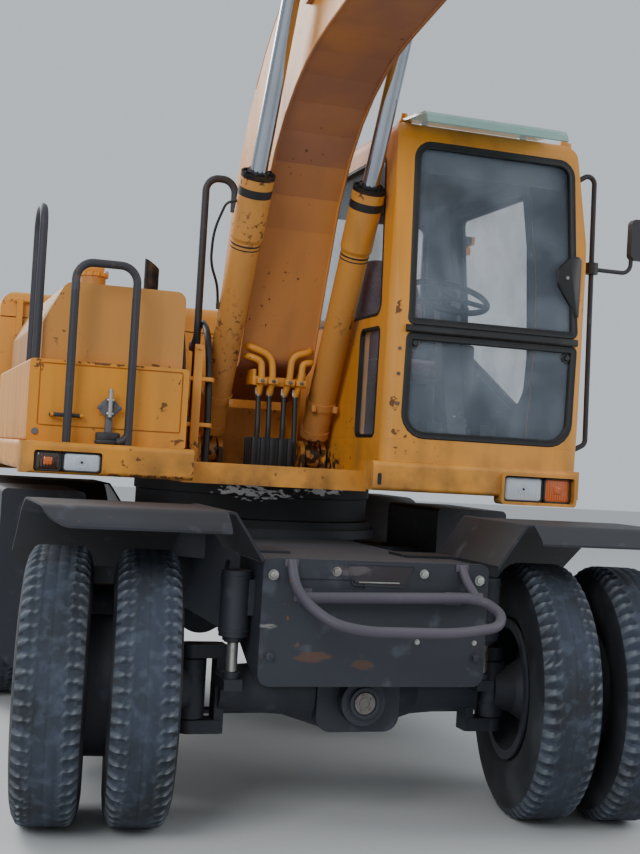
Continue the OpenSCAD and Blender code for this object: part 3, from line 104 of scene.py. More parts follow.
def linear(tint):
    """The linear red, green and blue of an sRGB hex text."""
    values = [int(tint[i:i + 2], 16) / 255 for i in (1, 3, 5)]
    return tuple(value / 12.92 if value <= 0.04045 else ((value + 0.055) / 1.055) ** 2.4 for value in values)


def colour(source):
    """A colour for a socket, from an sRGB hex text or from three linear values."""
    return (*(linear(source) if isinstance(source, str) else source), 1.0)


class TyreSizes(bpy.types.PropertyGroup):
    radius: FloatProperty(name="Radius", description="Over the tread", default=0.505, unit="LENGTH")
    width: FloatProperty(name="Width", description="At the widest of the side walls", default=0.249, unit="LENGTH")
    bead: FloatProperty(name="Bead radius", description="Where the tyre sits on its rim", default=0.257, unit="LENGTH")
    groove: FloatProperty(name="Groove depth", description="Left of the worn grooves", default=0.001, unit="LENGTH")
    notch: FloatProperty(name="Notch depth", description="Of the shoulder's notches", default=0.014, unit="LENGTH")
    notches: IntProperty(name="Notches", description="Notches around one shoulder", default=60, min=40, max=140)


class FinishColours(bpy.types.PropertyGroup):
    enamel: FloatVectorProperty(name="Enamel", description="Yellow machine enamel", subtype="COLOR",
                                size=3, min=0, max=1, default=linear("#DA8E22"))
    faded: FloatVectorProperty(name="Faded enamel", description="The enamel where sun has bleached it",
                               subtype="COLOR", size=3, min=0, max=1, default=linear("#D89C50"))
    chassis: FloatVectorProperty(name="Chassis paint", description="Black chassis paint", subtype="COLOR",
                                 size=3, min=0, max=1, default=linear("#272A31"))
    rubber: FloatVectorProperty(name="Rubber", description="Tyre rubber", subtype="COLOR",
                                size=3, min=0, max=1, default=linear("#24282F"))


class CameraPlace(bpy.types.PropertyGroup):
    x: FloatProperty(name="Right", description="Right of the slew axis", default=-1.741, unit="LENGTH")
    y: FloatProperty(name="Back", description="Behind the slew axis", default=-6.364, unit="LENGTH")
    z: FloatProperty(name="Height", description="Above the ground", default=1.389, unit="LENGTH")
    yaw: FloatProperty(name="Yaw", description="Turn to the right", default=radians(18.107), subtype="ANGLE")
    pitch: FloatProperty(name="Pitch", description="Turn upwards", default=radians(1.315), subtype="ANGLE")
    roll: FloatProperty(name="Roll", description="Lean to the left", default=radians(3.349), subtype="ANGLE")
    focal: FloatProperty(name="Focal length", description="In heights of the picture", default=1315 / 854)


def settings():
    """The tyres' sizes, the colours and the camera's place."""
    return bpy.context.scene.excavator_tyre, bpy.context.scene.excavator_colours, bpy.context.scene.excavator_camera


# ---------------------------------------------------------------- materials


def add(tree, kind, values=None, links=None, **attributes):
    """Adds one shader node, with its attributes, its sockets' values and the outputs linked to its sockets."""
    node = tree.nodes.new("ShaderNode" + kind)
    for name, value in attributes.items():
        setattr(node, name, value)
    for socket, value in (values or {}).items():
        node.inputs[socket].default_value = value
    for socket, output in (links or {}).items():
        tree.links.new(output, node.inputs[socket])
    return node


class Finish:
    """A material under construction: its shader and the patterns that it is mixed from."""

    def __init__(self, name, base, roughness, **shader):
        self.material = bpy.data.materials.new(name)
        self.material.use_nodes = True
        self.tree = self.material.node_tree
        self.shader = self.tree.nodes["Principled BSDF"]
        self.place = add(self.tree, "TexCoord").outputs["Object"]
        self.colour = add(self.tree, "RGB").outputs[0]
        self.colour.default_value = colour(base)
        self.rough = None
        self.shader.inputs["Roughness"].default_value = roughness
        self.roughness = roughness
        for socket, value in shader.items():
            self.shader.inputs[socket.replace("_", " ")].default_value = value

    def noise(self, size_mm, low, high, detail=4, stretch=(1, 1, 1)):
        """A mask of blotches about size_mm across, 0 below low and 1 above high."""
        place = add(self.tree, "Mapping", {"Scale": stretch}, {"Vector": self.place}).outputs[0]
        cloud = add(self.tree, "TexNoise", {"Scale": 500 / size_mm, "Detail": detail}, {"Vector": place})
        mask = add(self.tree, "MapRange", {"From Min": low, "From Max": high}, {"Value": cloud.outputs["Fac"]})
        return mask.outputs[0]

    def height(self, full_z, none_z):
        """A mask that is 1 at height full_z and 0 at none_z, in metres."""
        z = add(self.tree, "SeparateXYZ", None, {0: self.place}).outputs["Z"]
        return add(self.tree, "MapRange", {"From Min": none_z, "From Max": full_z}, {"Value": z}).outputs[0]

    def facing_up(self, low, high):
        """A mask of the faces that look upwards, where dust settles, or downwards if high is below low."""
        z = add(self.tree, "SeparateXYZ", None, {0: add(self.tree, "NewGeometry").outputs["Normal"]}).outputs["Z"]
        return add(self.tree, "MapRange", {"From Min": low, "From Max": high}, {"Value": z}).outputs[0]

    def both(self, a, b):
        """The part of one mask that lies in another."""
        return add(self.tree, "Math", None, {0: a, 1: b}, operation="MULTIPLY").outputs[0]

    def thin(self, mask, strength):
        """A mask weakened by a factor."""
        return add(self.tree, "Math", {1: strength}, {0: mask}, operation="MULTIPLY").outputs[0]

    def layer(self, mask, tint, roughness, strength=None):
        """Lays a colour over the mask, with its own roughness."""
        if strength is not None:
            mask = self.thin(mask, strength)
        mix = add(self.tree, "Mix", {7: colour(tint)}, {0: mask, 6: self.colour}, data_type="RGBA")
        self.colour = mix.outputs[2]
        values, links = {3: roughness}, {0: mask}
        if self.rough is None:
            values[2] = self.roughness
        else:
            links[2] = self.rough
        self.rough = add(self.tree, "Mix", values, links, data_type="FLOAT").outputs[0]

    def inside(self, low, high):
        """A mask of what lies in a box of the drawing, in mm."""
        low, high = at(*low), at(*high)
        place = add(self.tree, "SeparateXYZ", None, {0: self.place}).outputs
        mask = None
        for i in range(3):
            values = {1: (low[i] + high[i]) / 2, 2: (high[i] - low[i]) / 2}
            part = add(self.tree, "Math", values, {0: place[i]}, operation="COMPARE").outputs[0]
            mask = part if mask is None else self.both(mask, part)
        return mask

    def facing(self, x, y, z):
        """A mask of the faces that look towards a place of the drawing, in mm."""
        arm = add(self.tree, "VectorMath", {1: at(x, y, z)}, {0: self.place}, operation="SUBTRACT").outputs[0]
        normal = add(self.tree, "TexCoord").outputs["Normal"]
        along = add(self.tree, "VectorMath", None, {0: arm, 1: normal}, operation="DOT_PRODUCT").outputs["Value"]
        return add(self.tree, "Math", {1: 0.0}, {0: along}, operation="LESS_THAN").outputs[0]

    def stain(self, x, y, z, wide, deep, tall, size_mm=24, stretch=(1, 1, 1)):
        """A mask of a ragged stain around a place of the drawing, with its reach each way, in mm."""
        reach = (wide * MM, deep * MM, tall * MM)
        values = {"Scale": [1 / r for r in reach], "Location": [-c / r for c, r in zip(at(x, y, z), reach)]}
        place = add(self.tree, "Mapping", values, {"Vector": self.place}).outputs[0]
        length = add(self.tree, "VectorMath", None, {0: place}, operation="LENGTH").outputs["Value"]
        near = add(self.tree, "MapRange", {"From Min": 1.0, "From Max": 0.2}, {"Value": length}).outputs[0]
        ragged = self.both(near, self.noise(size_mm, 0.3, 0.7, 6, stretch))
        return add(self.tree, "MapRange", {"From Min": 0.36, "From Max": 0.46}, {"Value": ragged}).outputs[0]

    def relief(self, height, depth_mm):
        """Raises the surface by a pattern."""
        bump = add(self.tree, "Bump", {"Strength": 0.6, "Distance": depth_mm * MM}, {"Height": height})
        self.tree.links.new(bump.outputs[0], self.shader.inputs["Normal"])

    def done(self):
        """Links the mixed colour and roughness to the shader, and gives the material."""
        self.tree.links.new(self.colour, self.shader.inputs["Base Color"])
        if self.rough is not None:
            self.tree.links.new(self.rough, self.shader.inputs["Roughness"])
        return self.material


OIL_STAINS = (
    # x, y, z and the reach each way: at both cylinder feet, along the deck and below the rail
    (-314, -330, 1375, 230, 380, 170),
    (194, -330, 1375, 230, 380, 170),
    (-60, -640, 1310, 460, 500, 60),
    (-500, -700, 1360, 90, 200, 160),
)
RUST_SPOTS = (
    # x, y, z and the reach each way: on the tool box, down the cab's post, on the bumper and on the cylinder heads
    (-660, -930, 1560, 50, 40, 40),
    (-600, -930, 1680, 40, 40, 40),
    (-600, -930, 1420, 60, 40, 30),
    (-1180, -930, 1690, 40, 40, 60),
    (-900, -930, 1722, 300, 60, 14),
    (320, -1075, 1640, 40, 60, 50),
    (320, -1075, 2050, 30, 60, 70),
    (330, -1075, 1520, 40, 60, 30),
    (-700, -1095, 1270, 500, 60, 12),
    (-555, -1095, 1320, 14, 60, 80),
    (-660, -870, 1735, 90, 60, 12),
    (-314, -925, 2548, 150, 170, 66),
    (194, -925, 2548, 150, 170, 66),
)
LINING_MIDDLE_Z = 2150
# A box behind the front window's upper pane: the skin of the cab that lies in it is painted dark, as the shade under
# the cab's ceiling.
CEILING_SHADE_BAND = ((CAB_X0 + 60, -996, 1990), (CAB_X1 - 50, -980, 2830))


def machine_enamel(name, coat, faded, wear=0.64, underside_shade=0.0, lining_and_shade_band=False):
    """Sprayed alkyd enamel on steel: an even satin colour that bleaches in patches, chips to rust and holds grime. It
    may also carry a painted red-brown shade on the faces that look down, and a grey cab lining with a painted dark
    shade band behind the front window's top.
    """
    paint = Finish(name, coat, 0.42)
    paint.layer(paint.noise(900, 0.35, 0.68), faded, 0.55, 0.8)
    paint.layer(paint.noise(60, 0.5, 0.75, 6, (1, 1, 0.12)), "#7A5A2C", 0.7, 0.35)
    # painted shade: a red-brown colour laid in broad patches on the faces that look down
    if underside_shade:
        paint.layer(paint.both(paint.noise(500, 0.2, 0.5), paint.facing_up(0.0, -0.7)), "#84564A", 0.75, underside_shade)
    paint.layer(paint.both(paint.height(1.22, 1.50), paint.noise(70, 0.42, 0.66, 8)), "#4A3A28", 0.85, 0.75)
    paint.layer(paint.both(paint.noise(13, wear, wear + 0.03, 4), paint.noise(190, 0.53, 0.62)), "#4E3020", 0.9, 0.85)
    for stain in RUST_SPOTS:
        paint.layer(paint.stain(*stain, 10), "#4A2C1E", 0.85, 0.85)
    for stain in OIL_STAINS:
        paint.layer(paint.stain(*stain), "#1B1917", 0.4, 0.92)
    if lining_and_shade_band:
        cab = paint.inside((CAB_X0 + 3, CAB_FRONT_Y + 3, 1400), (CAB_X1 - 3, CAB_BACK_Y - 3, CAB_TOP_Z - 3))
        centre = ((CAB_X0 + CAB_X1) / 2, (CAB_FRONT_Y + CAB_BACK_Y) / 2, LINING_MIDDLE_Z)
        paint.layer(paint.both(cab, paint.facing(*centre)), "#454D57", 0.8)
        # painted shade: a dark band behind the top of the front window
        paint.layer(paint.inside(*CEILING_SHADE_BAND), "#343B45", 0.8)
    paint.relief(paint.noise(160, 0, 1, 2), 1.5)
    return paint.done()


SCUFFS = (
    # x, y, z, the reach each way, colour: on the front plate and below the lower step tube
    (-400, -1840, 776, 90, 60, 26, "#8C8884"),
    (-230, -1840, 672, 150, 60, 60, "#5A4030"),
    (-40, -1840, 640, 120, 60, 40, "#5A4030"),
    (-120, -1840, 985, 190, 60, 30, "#5C5658"),
    (330, -1840, 760, 90, 60, 40, "#4E4A50"),
)


def chassis_paint(name, coat, dust=0.25):
    """Brushed-on black chassis paint: dull, scratched to grey and pale with road dust on top."""
    paint = Finish(name, coat, 0.55)
    paint.layer(paint.noise(300, 0.35, 0.7), "#333843", 0.6, 0.6)
    paint.layer(paint.noise(46, 0.60, 0.72, 8), "#585C66", 0.75, 0.4)
    paint.layer(paint.both(paint.noise(18, 0.66, 0.70, 6), paint.noise(300, 0.52, 0.62)), "#6A4A34", 0.9)
    paint.layer(paint.facing_up(0.4, 0.95), "#6C6C6E", 0.85, dust)
    for *spot, tint in SCUFFS:
        paint.layer(paint.stain(*spot, 40, (0.4, 1, 1.6)), tint, 0.8, 0.7)
    paint.relief(paint.noise(30, 0, 1, 6), 0.6)
    return paint.done()


GREASE = (
    # x, y, z and the reach each way: two streaks along the ring's front
    (-130, -760, 1216, 360, 900, 74),
    (160, -760, 1240, 340, 900, 50),
)


def greased_ring(name):
    """A cast slew ring: near black, with pale grease pressed out in ragged streaks along its front."""
    ring = Finish(name, "#202125", 0.6)
    ring.layer(ring.noise(60, 0.45, 0.7, 6), "#33353B", 0.7, 0.5)
    for streak in GREASE:
        ring.layer(ring.stain(*streak, 12, (0.5, 1, 1.4)), "#E6E8EC", 0.35)
    ring.relief(ring.noise(20, 0, 1, 4), 0.8)
    return ring.done()


def worn_steel(name, base, roughness=0.45):
    """Bare steel with light rust: grey, metallic and uneven."""
    steel = Finish(name, base, roughness, Metallic=0.85)
    steel.layer(steel.noise(50, 0.5, 0.72, 6), "#5A4636", 0.7)
    steel.relief(steel.noise(12, 0, 1, 4), 0.3)
    return steel.done()


def chromed_rod(name):
    """Hard chrome ground smooth: a clean bright bar with a faint oil film."""
    rod = Finish(name, "#A9AEB8", 0.16, Metallic=1.0)
    rod.layer(rod.noise(90, 0.5, 0.8, 3, (1, 1, 0.2)), "#7D828C", 0.3, 0.5)
    return rod.done()


def tyre_tread(name, base):
    """Worn tread rubber: blue-black, greyed by ground-in dust and rubbed pale along its edges."""
    rubber = Finish(name, base, 0.85)
    rubber.layer(rubber.noise(110, 0.35, 0.62, 8), "#3A4352", 0.9, 0.7)
    rubber.layer(rubber.noise(20, 0.50, 0.66, 8), "#626E80", 0.95, 0.22)
    edge = add(rubber.tree, "NewGeometry").outputs["Pointiness"]
    rubbed = add(rubber.tree, "MapRange", {"From Min": 0.52, "From Max": 0.60}, {"Value": edge}).outputs[0]
    rubber.layer(rubbed, "#9AA0A6", 0.95, 0.75)
    rubber.relief(rubber.noise(9, 0.3, 0.8, 6), 1.6)
    return rubber.done()


def tyre_wall(name, base):
    """Side wall rubber: darker and smoother than the tread, dusty in patches."""
    rubber = Finish(name, base, 0.7)
    rubber.layer(rubber.noise(120, 0.45, 0.75, 6), "#55585C", 0.85, 0.5)
    rubber.relief(rubber.noise(16, 0, 1, 4), 0.5)
    return rubber.done()


def soft_rubber(name, base="#15171A", roughness=0.6):
    """Extruded rubber of seals and hoses: near black with a dull sheen."""
    rubber = Finish(name, base, roughness)
    rubber.layer(rubber.noise(60, 0.5, 0.8), "#3A3C3E", 0.8, 0.4)
    return rubber.done()


def safety_glass(name, tint, clear, film):
    """Toughened glass with a film of road dust: mostly see-through, cloudy in patches and speckled."""
    glass = Finish(name, tint, 0.04, Specular_IOR_Level=0.8)
    cloud = glass.noise(140, 0.4, 0.85, 6)
    specks = glass.noise(7, 0.70, 0.76, 2)
    dust = add(glass.tree, "Math", None, {0: glass.thin(cloud, film), 1: glass.thin(specks, 0.3)}, operation="ADD")
    alpha = add(glass.tree, "Math", {1: 1 - clear}, {0: dust.outputs[0]}, operation="ADD", use_clamp=True)
    glass.layer(dust.outputs[0], "#C9CCC8", 0.5)
    glass.tree.links.new(alpha.outputs[0], glass.shader.inputs["Alpha"])
    return glass.done()


def moulded_plastic(name, base):
    """Injection-moulded plastic: even colour and a soft gloss."""
    plastic = Finish(name, base, 0.45)
    plastic.layer(plastic.noise(80, 0.5, 0.8), "#6A665E", 0.7, 0.25)
    return plastic.done()


def ribbed_lens(name, base, rib_mm):
    """Pressed lamp glass: clear, with fine upright ribs that scatter the light."""
    lens = Finish(name, base, 0.12, Specular_IOR_Level=0.8)
    ribs = add(lens.tree, "TexWave", {"Scale": 1000 / rib_mm / 6.3, "Distortion": 0.0}, {"Vector": lens.place})
    lens.relief(ribs.outputs["Fac"], 1.2)
    return lens.done()


def woven_cloth(name, base, other):
    """Woven seat cloth: a soft matt colour with a darker thread between."""
    cloth = Finish(name, base, 0.9, Sheen_Weight=0.3)
    cloth.layer(cloth.noise(5, 0.45, 0.6, 2), other, 0.95)
    cloth.relief(cloth.noise(5, 0, 1, 2), 0.6)
    return cloth.done()


MATERIALS = {}


def make_materials():
    _, colours, _ = settings()
    coat, faded = tuple(colours.enamel), tuple(colours.faded)
    MATERIALS.update({
        "enamel": machine_enamel("yellow alkyd enamel", coat, faded),
        # the boom and the arm get painted red-brown shade on their undersides
        "boom enamel": machine_enamel("yellow enamel with painted underside shade", coat, "#C8875A", 0.66, 0.85),
        "cab enamel": machine_enamel("yellow enamel with grey lining and painted shade band", coat, faded, lining_and_shade_band=True),
        "cylinder enamel": machine_enamel("chipped cylinder enamel", "#CC8A34", "#B08560", 0.58),
        "tank enamel": machine_enamel("dulled tank enamel", "#C2853D", "#AD7A47"),
        "chassis": chassis_paint("black chassis paint", tuple(colours.chassis)),
        "fender": chassis_paint("black fender paint", "#191A1E", 0.12),
        "rail": chassis_paint("worn rail paint", "#2C292B"),
        "step": chassis_paint("worn step paint", "#544D58"),
        "primer": chassis_paint("maroon primer", "#2C2226"),
        "hasp grey": chassis_paint("grey hasp paint", "#6E7076"),
        "slew ring": greased_ring("greased cast ring"),
        "steel": worn_steel("rusting steel", "#7A7672"),
        "sooty steel": worn_steel("sooty exhaust steel", "#2E2B2A", 0.7),
        "bolt steel": worn_steel("zinc-plated bolt steel", "#B4B4B0", 0.35),
        "cast": worn_steel("cast iron", "#4A4A4C", 0.6),
        "chrome": chromed_rod("hard chrome"),
        "tread": tyre_tread("worn tread rubber", tuple(colours.rubber)),
        "wall": tyre_wall("side wall rubber", tuple(c * 0.55 for c in colours.rubber)),
        "seal": soft_rubber("extruded seal rubber"),
        "hose": soft_rubber("hydraulic hose rubber", "#1C1D1F", 0.5),
        "glass": safety_glass("toughened cab glass", "#8C9CAE", 0.88, 0.26),
        "visor": safety_glass("tinted visor acrylic", "#9CC9C0", 0.35, 0.3),
        "lens": ribbed_lens("pressed headlamp glass", "#C4CDD6", 9),
        "amber": ribbed_lens("amber lens plastic", "#C8622A", 6),
        "smoked": ribbed_lens("smoked lens plastic", "#3A2A20", 6),
        "red lens": ribbed_lens("red lens plastic", "#8A1414", 6),
        "plastic": moulded_plastic("black ABS", "#1D1E20"),
        "seat cloth": woven_cloth("wine seat cloth", "#6A2230", "#3C141C"),
        "mirror": Finish("silvered mirror glass", "#C8CCD0", 0.04, Metallic=1.0).done(),
    })


NODE_FINISH = {
    "enamel": ("upper_frame", "bumpers", "counterweight", "hood", "hood_lid", "tool_box", "cab_floor"),
    "cab enamel": ("cab_front", "cab_inner_side", "cab_door_side", "cab_back", "cab_roof", "cab_door"),
    "boom enamel": ("boom", "arm"),
    "cylinder enamel": ("boom_barrels", "arm_barrel", "bucket_barrel"),
    "tank enamel": ("tank",),
    "chassis": ("chassis_frame", "front_box", "rear_box", "side_boxes", "front_axle", "rear_axle", "axle_rams",
                "knuckle_l", "knuckle_r", "track_rod", "drive_shafts", "rims_fl", "rims_fr", "rims_rl", "rims_rr"),
    "fender": ("fenders",),
    "rail": ("front_step", "handrails", "mirror_stay"),
    "cast": ("engine", "bucket", "bucket_rocker", "bucket_link"),
    "slew ring": ("turntable",),
    "sooty steel": ("exhaust",),
    "chrome": ("boom_rods", "arm_rod", "bucket_rod"),
    "tread": ("tyres_fl", "tyres_fr", "tyres_rl", "tyres_rr"),
    "glass": ("cab_glass", "door_glass"),
    "visor": ("visor",),
    "lens": ("lamps",),
    "seat cloth": ("seat",),
    "plastic": ("controls",),
    "hose": ("hose_box",),
}


def finish_nodes():
    """Gives every solid of the frame its material."""
    for finish, names in NODE_FINISH.items():
        for name in names:
            NODES[name].data.materials.clear()
            NODES[name].data.materials.append(MATERIALS[finish])


# ---------------------------------------------------------------- shapes


def piece(name, bm, body, *finishes, replaces=None, smooth_deg=35):
    """Turns a bmesh into a piece that rides on a body, in its first finish's slot. It is shaded smooth where its
    faces meet within smooth_deg."""
    bmesh.ops.remove_doubles(bm, verts=bm.verts, dist=1e-6)
    bmesh.ops.recalc_face_normals(bm, faces=bm.faces)
    for face in bm.faces:
        face.smooth = True
    for edge in bm.edges:
        edge.smooth = not (edge.is_manifold and edge.calc_face_angle(0) > radians(smooth_deg))
    mesh = bpy.data.meshes.new(name)
    bm.to_mesh(mesh)
    bm.free()
    part = bpy.data.objects.new(name, mesh)
    bpy.context.scene.collection.objects.link(part)
    for finish in finishes:
        mesh.materials.append(MATERIALS[finish])
    if body:
        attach(part, body)
    if replaces:
        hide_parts(replaces)
    return part


def rounded_cube(bm, matrix, bevel):
    """A unit cube put in place and sized by a matrix, with its edges rounded by bevel."""
    made = bmesh.ops.create_cube(bm, matrix=matrix)
    if bevel:
        edges = list(dict.fromkeys(edge for vert in made["verts"] for edge in vert.link_edges))
        bmesh.ops.bevel(bm, geom=edges, offset=bevel, segments=2, profile=0.5, affect="EDGES", material=-1)


def block(bm, low, high, bevel=0.0):
    """A box between two corners."""
    rounded_cube(bm, Matrix.Translation((low + high) / 2) @ Matrix.Diagonal((*(high - low), 1)), bevel)


def lug(bm, centre, half, bevel):
    """A small box around its centre, from its half sizes."""
    block(bm, centre - Vector(half), centre + Vector(half), bevel)


def along(p, q):
    """The matrix that takes a shape along z, centred, to the line from p to q."""
    return Matrix.Translation((p + q) / 2) @ (q - p).to_track_quat("Z", "Y").to_matrix().to_4x4()


def round_bar(bm, p, q, r, segments=20, r_end=None):
    """A round bar or a cone from p to q."""
    bmesh.ops.create_cone(bm, cap_ends=True, segments=segments, radius1=r, radius2=r if r_end is None else r_end,
                          depth=(q - p).length, matrix=along(p, q))


# How far a fitting is sunk into what it sits on, and a bolt's measures as parts of its width across flats.
SUNK = 0.001
WASHER_R, WASHER_THICK = 0.72, 0.14
HEAD_R, HEAD_THICK = 0.58, 0.50
CROWN_R, CROWN_END_R, CROWN_TOP = 0.50, 0.30, 0.58


def hex_bolt(bm, place, out, across, washer=True):
    """A hexagon bolt head on a washer at a place, standing out along a direction."""
    out = out.normalized()
    thick = across * WASHER_THICK if washer else 0
    if washer:
        round_bar(bm, place - out * SUNK, place + out * thick, across * WASHER_R, 20)
    start = place + out * (thick - SUNK / 2)
    flat = start + out * across * HEAD_THICK
    round_bar(bm, start, flat, across * HEAD_R, 6)
    round_bar(bm, flat, start + out * across * CROWN_TOP, across * CROWN_R, 12, across * CROWN_END_R)


def ring_of(count, centre, axis, radius, start=0.0):
    """Places on a circle about an axis."""
    axis = axis.normalized()
    side = axis.orthogonal().normalized()
    return [centre + Matrix.Rotation(start + 2 * pi * i / count, 3, axis) @ side * radius for i in range(count)]


def sweep(bm, path, profile, up=None, closed=False):
    """Drags a closed profile of (across, out) along a path. Out points along up, or along one up for each point."""
    n, sides = len(path), len(profile)
    ring, out = None, None
    for i, here in enumerate(path):
        before = path[(i - 1) % n] if closed or i else here
        after = path[(i + 1) % n] if closed or i < n - 1 else here
        run = (after - before).normalized()
        if up is not None:
            lift = up[i] if isinstance(up, list) else up
        else:
            lift = run.orthogonal() if out is None else out
        side = run.cross(lift).normalized()
        out = side.cross(run).normalized()
        places = [here + side * a + out * b for a, b in profile]
        if ring is None:
            ring = first = [bm.verts.new(place) for place in places]
            edges = [bm.edges.new((ring[k], ring[(k + 1) % sides])) for k in range(sides)]
            continue
        made = bmesh.ops.extrude_edge_only(bm, edges=edges)["geom"]
        fresh = [item for item in made if isinstance(item, bmesh.types.BMVert)]
        ring = [next(v for v in fresh if any(e.other_vert(v) is old for e in v.link_edges)) for old in ring]
        edges = [bm.edges.get((ring[k], ring[(k + 1) % sides])) for k in range(sides)]
        for vert, place in zip(ring, places):
            vert.co = place
    if closed:
        start = [bm.edges.get((first[k], first[(k + 1) % sides])) for k in range(sides)]
        bmesh.ops.bridge_loops(bm, edges=start + edges)
    else:
        bm.faces.new(first)
        bm.faces.new(ring)


def circle_profile(r, segments=10):
    return [(r * cos(2 * pi * i / segments), r * sin(2 * pi * i / segments)) for i in range(segments)]


def smooth_path(points, radius, steps=6):
    """Rounds the corners of a path of points by an arc of about the radius."""
    out = [points[0]]
    for before, here, after in zip(points, points[1:], points[2:]):
        reach = min(radius, (before - here).length * 0.45, (after - here).length * 0.45)
        a = here + (before - here).normalized() * reach
        b = here + (after - here).normalized() * reach
        for i in range(steps + 1):
            t = i / steps
            out.append(a.lerp(here, t).lerp(here.lerp(b, t), t))
    out.append(points[-1])
    return out


def tube(bm, corners, radius, bend, segments=16):
    """A bent tube through corners in millimetres."""
    sweep(bm, smooth_path([at(*corner) for corner in corners], bend), circle_profile(radius, segments))


def rounded_outline(corners, radius, steps=6):
    """A closed outline of 2D corners, each rounded; a corner may carry its own radius as a third value."""
    out = []
    n = len(corners)
    for i, corner in enumerate(corners):
        here = Vector(corner[:2])
        before, after = Vector(corners[i - 1][:2]), Vector(corners[(i + 1) % n][:2])
        turn = (before - here).angle(after - here) / 2
        bend = corner[2] if len(corner) > 2 else radius
        a = here + (before - here).normalized() * bend / tan(turn)
        b = here + (after - here).normalized() * bend / tan(turn)
        centre = here + ((a + b) / 2 - here).normalized() * bend / sin(turn)
        out += [centre + (a - centre).lerp(b - centre, k / steps).normalized() * bend for k in range(steps + 1)]
    return out


def corners_of(x0, x1, z0, z1):
    """The corners of a rectangle."""
    return [(x0, z0), (x1, z0), (x1, z1), (x0, z1)]


def raise_plate(bm, outline, lay, out, thick, dome=0.0, rim=0.0):
    """Raises a plate from a 2D outline that lay() puts in place, its front bulged by dome inside a rim."""
    base = bm.faces.new([bm.verts.new(lay(point)) for point in outline])
    made = bmesh.ops.extrude_face_region(bm, geom=[base])["geom"]
    front = [item for item in made if isinstance(item, bmesh.types.BMFace)]
    bmesh.ops.translate(bm, verts=[item for item in made if isinstance(item, bmesh.types.BMVert)], vec=out * thick)
    if dome:
        bmesh.ops.inset_region(bm, faces=front, thickness=rim, use_even_offset=True)
        bmesh.ops.translate(bm, verts=list({vert for face in front for vert in face.verts}), vec=out * dome)


def band(bm, centre, axis, radius, width, thick, segments=48):
    """A flat ring around an axis, its inner face at the radius."""
    places = ring_of(segments, centre, axis, radius)
    half = width / 2
    profile = [(-half, 0), (half, 0), (half, thick), (-half, thick)]
    sweep(bm, places, profile, [place - centre for place in places], True)


TREES = {}


def surface(node, origin, direction):
    """Where a ray from origin first meets a CAD node, and the face's normal there."""
    if node not in TREES:
        TREES[node] = BVHTree.FromObject(NODES[node], bpy.context.evaluated_depsgraph_get())
    place, normal, _, _ = TREES[node].ray_cast(origin, direction)
    if place is None:
        raise RuntimeError(f"no surface of {node} lies that way")
    return place, normal


# ---------------------------------------------------------------- wheels

KINGPIN_X, REAR_JOINT_X = 615 * MM, 800 * MM
TWIN_X = (795 * MM, 1118 * MM)
DISC_X = sum(TWIN_X) / 2
NUT_FACE_X, CAP_FACE_X = DISC_X + 0.0178, DISC_X + 0.158
NUT_CIRCLE, NUT_COUNT, NUT_SIZE = 0.168, 10, 0.026
CAP_CIRCLE, CAP_BOLT_COUNT, CAP_BOLT_SIZE = 0.098, 8, 0.018
TREAD_DEPTH = 0.030
SHOULDER, SHOULDER_DEPTH = 0.074, 0.012
# Parts of a notch's pitch from which its slope and its floor are sunk, and how deep the slope is of the floor.
SLOPE_FROM, FLOOR_FROM, SLOPE_DEPTH = 0.45, 0.70, 0.55
WHEELS = (
    # the tyres' node, body, joint, side, distance of the joint from the middle
    ("tyres_fl", "wheel_front_left", "spin_front_left", 1, KINGPIN_X),
    ("tyres_fr", "wheel_front_right", "spin_front_right", -1, KINGPIN_X),
    ("tyres_rl", "wheel_rear_left", "spin_rear_left", 1, REAR_JOINT_X),
    ("tyres_rr", "wheel_rear_right", "spin_rear_right", -1, REAR_JOINT_X),
)


def wheel_place(joint, side, reach, x):
    """The point on a wheel's axis at distance x from the middle of the machine, and the axis outwards."""
    out = Vector(JOINTS[joint]["axis"]).normalized() * side
    return pin(joint) + out * (x - reach), out


def tyre_section(sizes):
    """A tyre's section as (radius, distance from its middle): bead, side wall, shoulder and grooved crown."""
    r, half, bead, worn = sizes.radius, sizes.width / 2, sizes.bead, sizes.radius - sizes.groove
    one_half = [
        (bead, 0.095), (bead + 0.030, 0.106), (bead + 0.055, 0.118),
        (r - 0.145, half - 0.001), (r - 0.110, half), (r - 0.070, half - 0.004), (r - 0.038, half - 0.012),
        (r - 0.010, half - 0.028), (r - 0.003, 0.086), (r, SHOULDER),
        (r, 0.060), (r, 0.046), (worn, 0.043), (worn, 0.036), (r, 0.033), (r, 0.005), (worn, 0.003),
    ]
    return one_half + [(a, -b) for a, b in reversed(one_half)]


def tyre_mesh(centre, axis, sizes):
    """A mesh of one tyre: its section is spun about the axis, and its shoulders are sunk to a saw tooth."""
    bm = bmesh.new()
    side = axis.orthogonal().normalized()
    verts = [bm.verts.new(centre + side * a + axis * b) for a, b in tyre_section(sizes)]
    edges = [bm.edges.new((verts[i], verts[(i + 1) % len(verts)])) for i in range(len(verts))]
    bmesh.ops.spin(bm, geom=verts + edges, cent=centre, axis=axis, angle=2 * pi, steps=sizes.notches * 4,
                   use_merge=True)
    pitch = 2 * pi / sizes.notches
    other = axis.cross(side)
    for vert in bm.verts:
        arm = vert.co - centre
        out = arm.dot(axis)
        spoke = arm - axis * out
        if spoke.length < sizes.radius - SHOULDER_DEPTH or abs(out) < SHOULDER - 0.001:
            continue
        turn = (atan2(spoke.dot(other), spoke.dot(side)) + (0.5 if out > 0 else 0) * pitch) % pitch
        if turn > pitch * SLOPE_FROM:
            vert.co -= spoke.normalized() * sizes.notch * (1.0 if turn > pitch * FLOOR_FROM else SLOPE_DEPTH)
    for face in bm.faces:
        arm = face.calc_center_median() - centre
        on_tread = (arm - axis * arm.dot(axis)).length > sizes.radius - TREAD_DEPTH
        face.material_index = 0 if on_tread else 1
    mesh = bpy.data.meshes.new("one tyre")
    bm.to_mesh(mesh)
    bm.free()
    return mesh


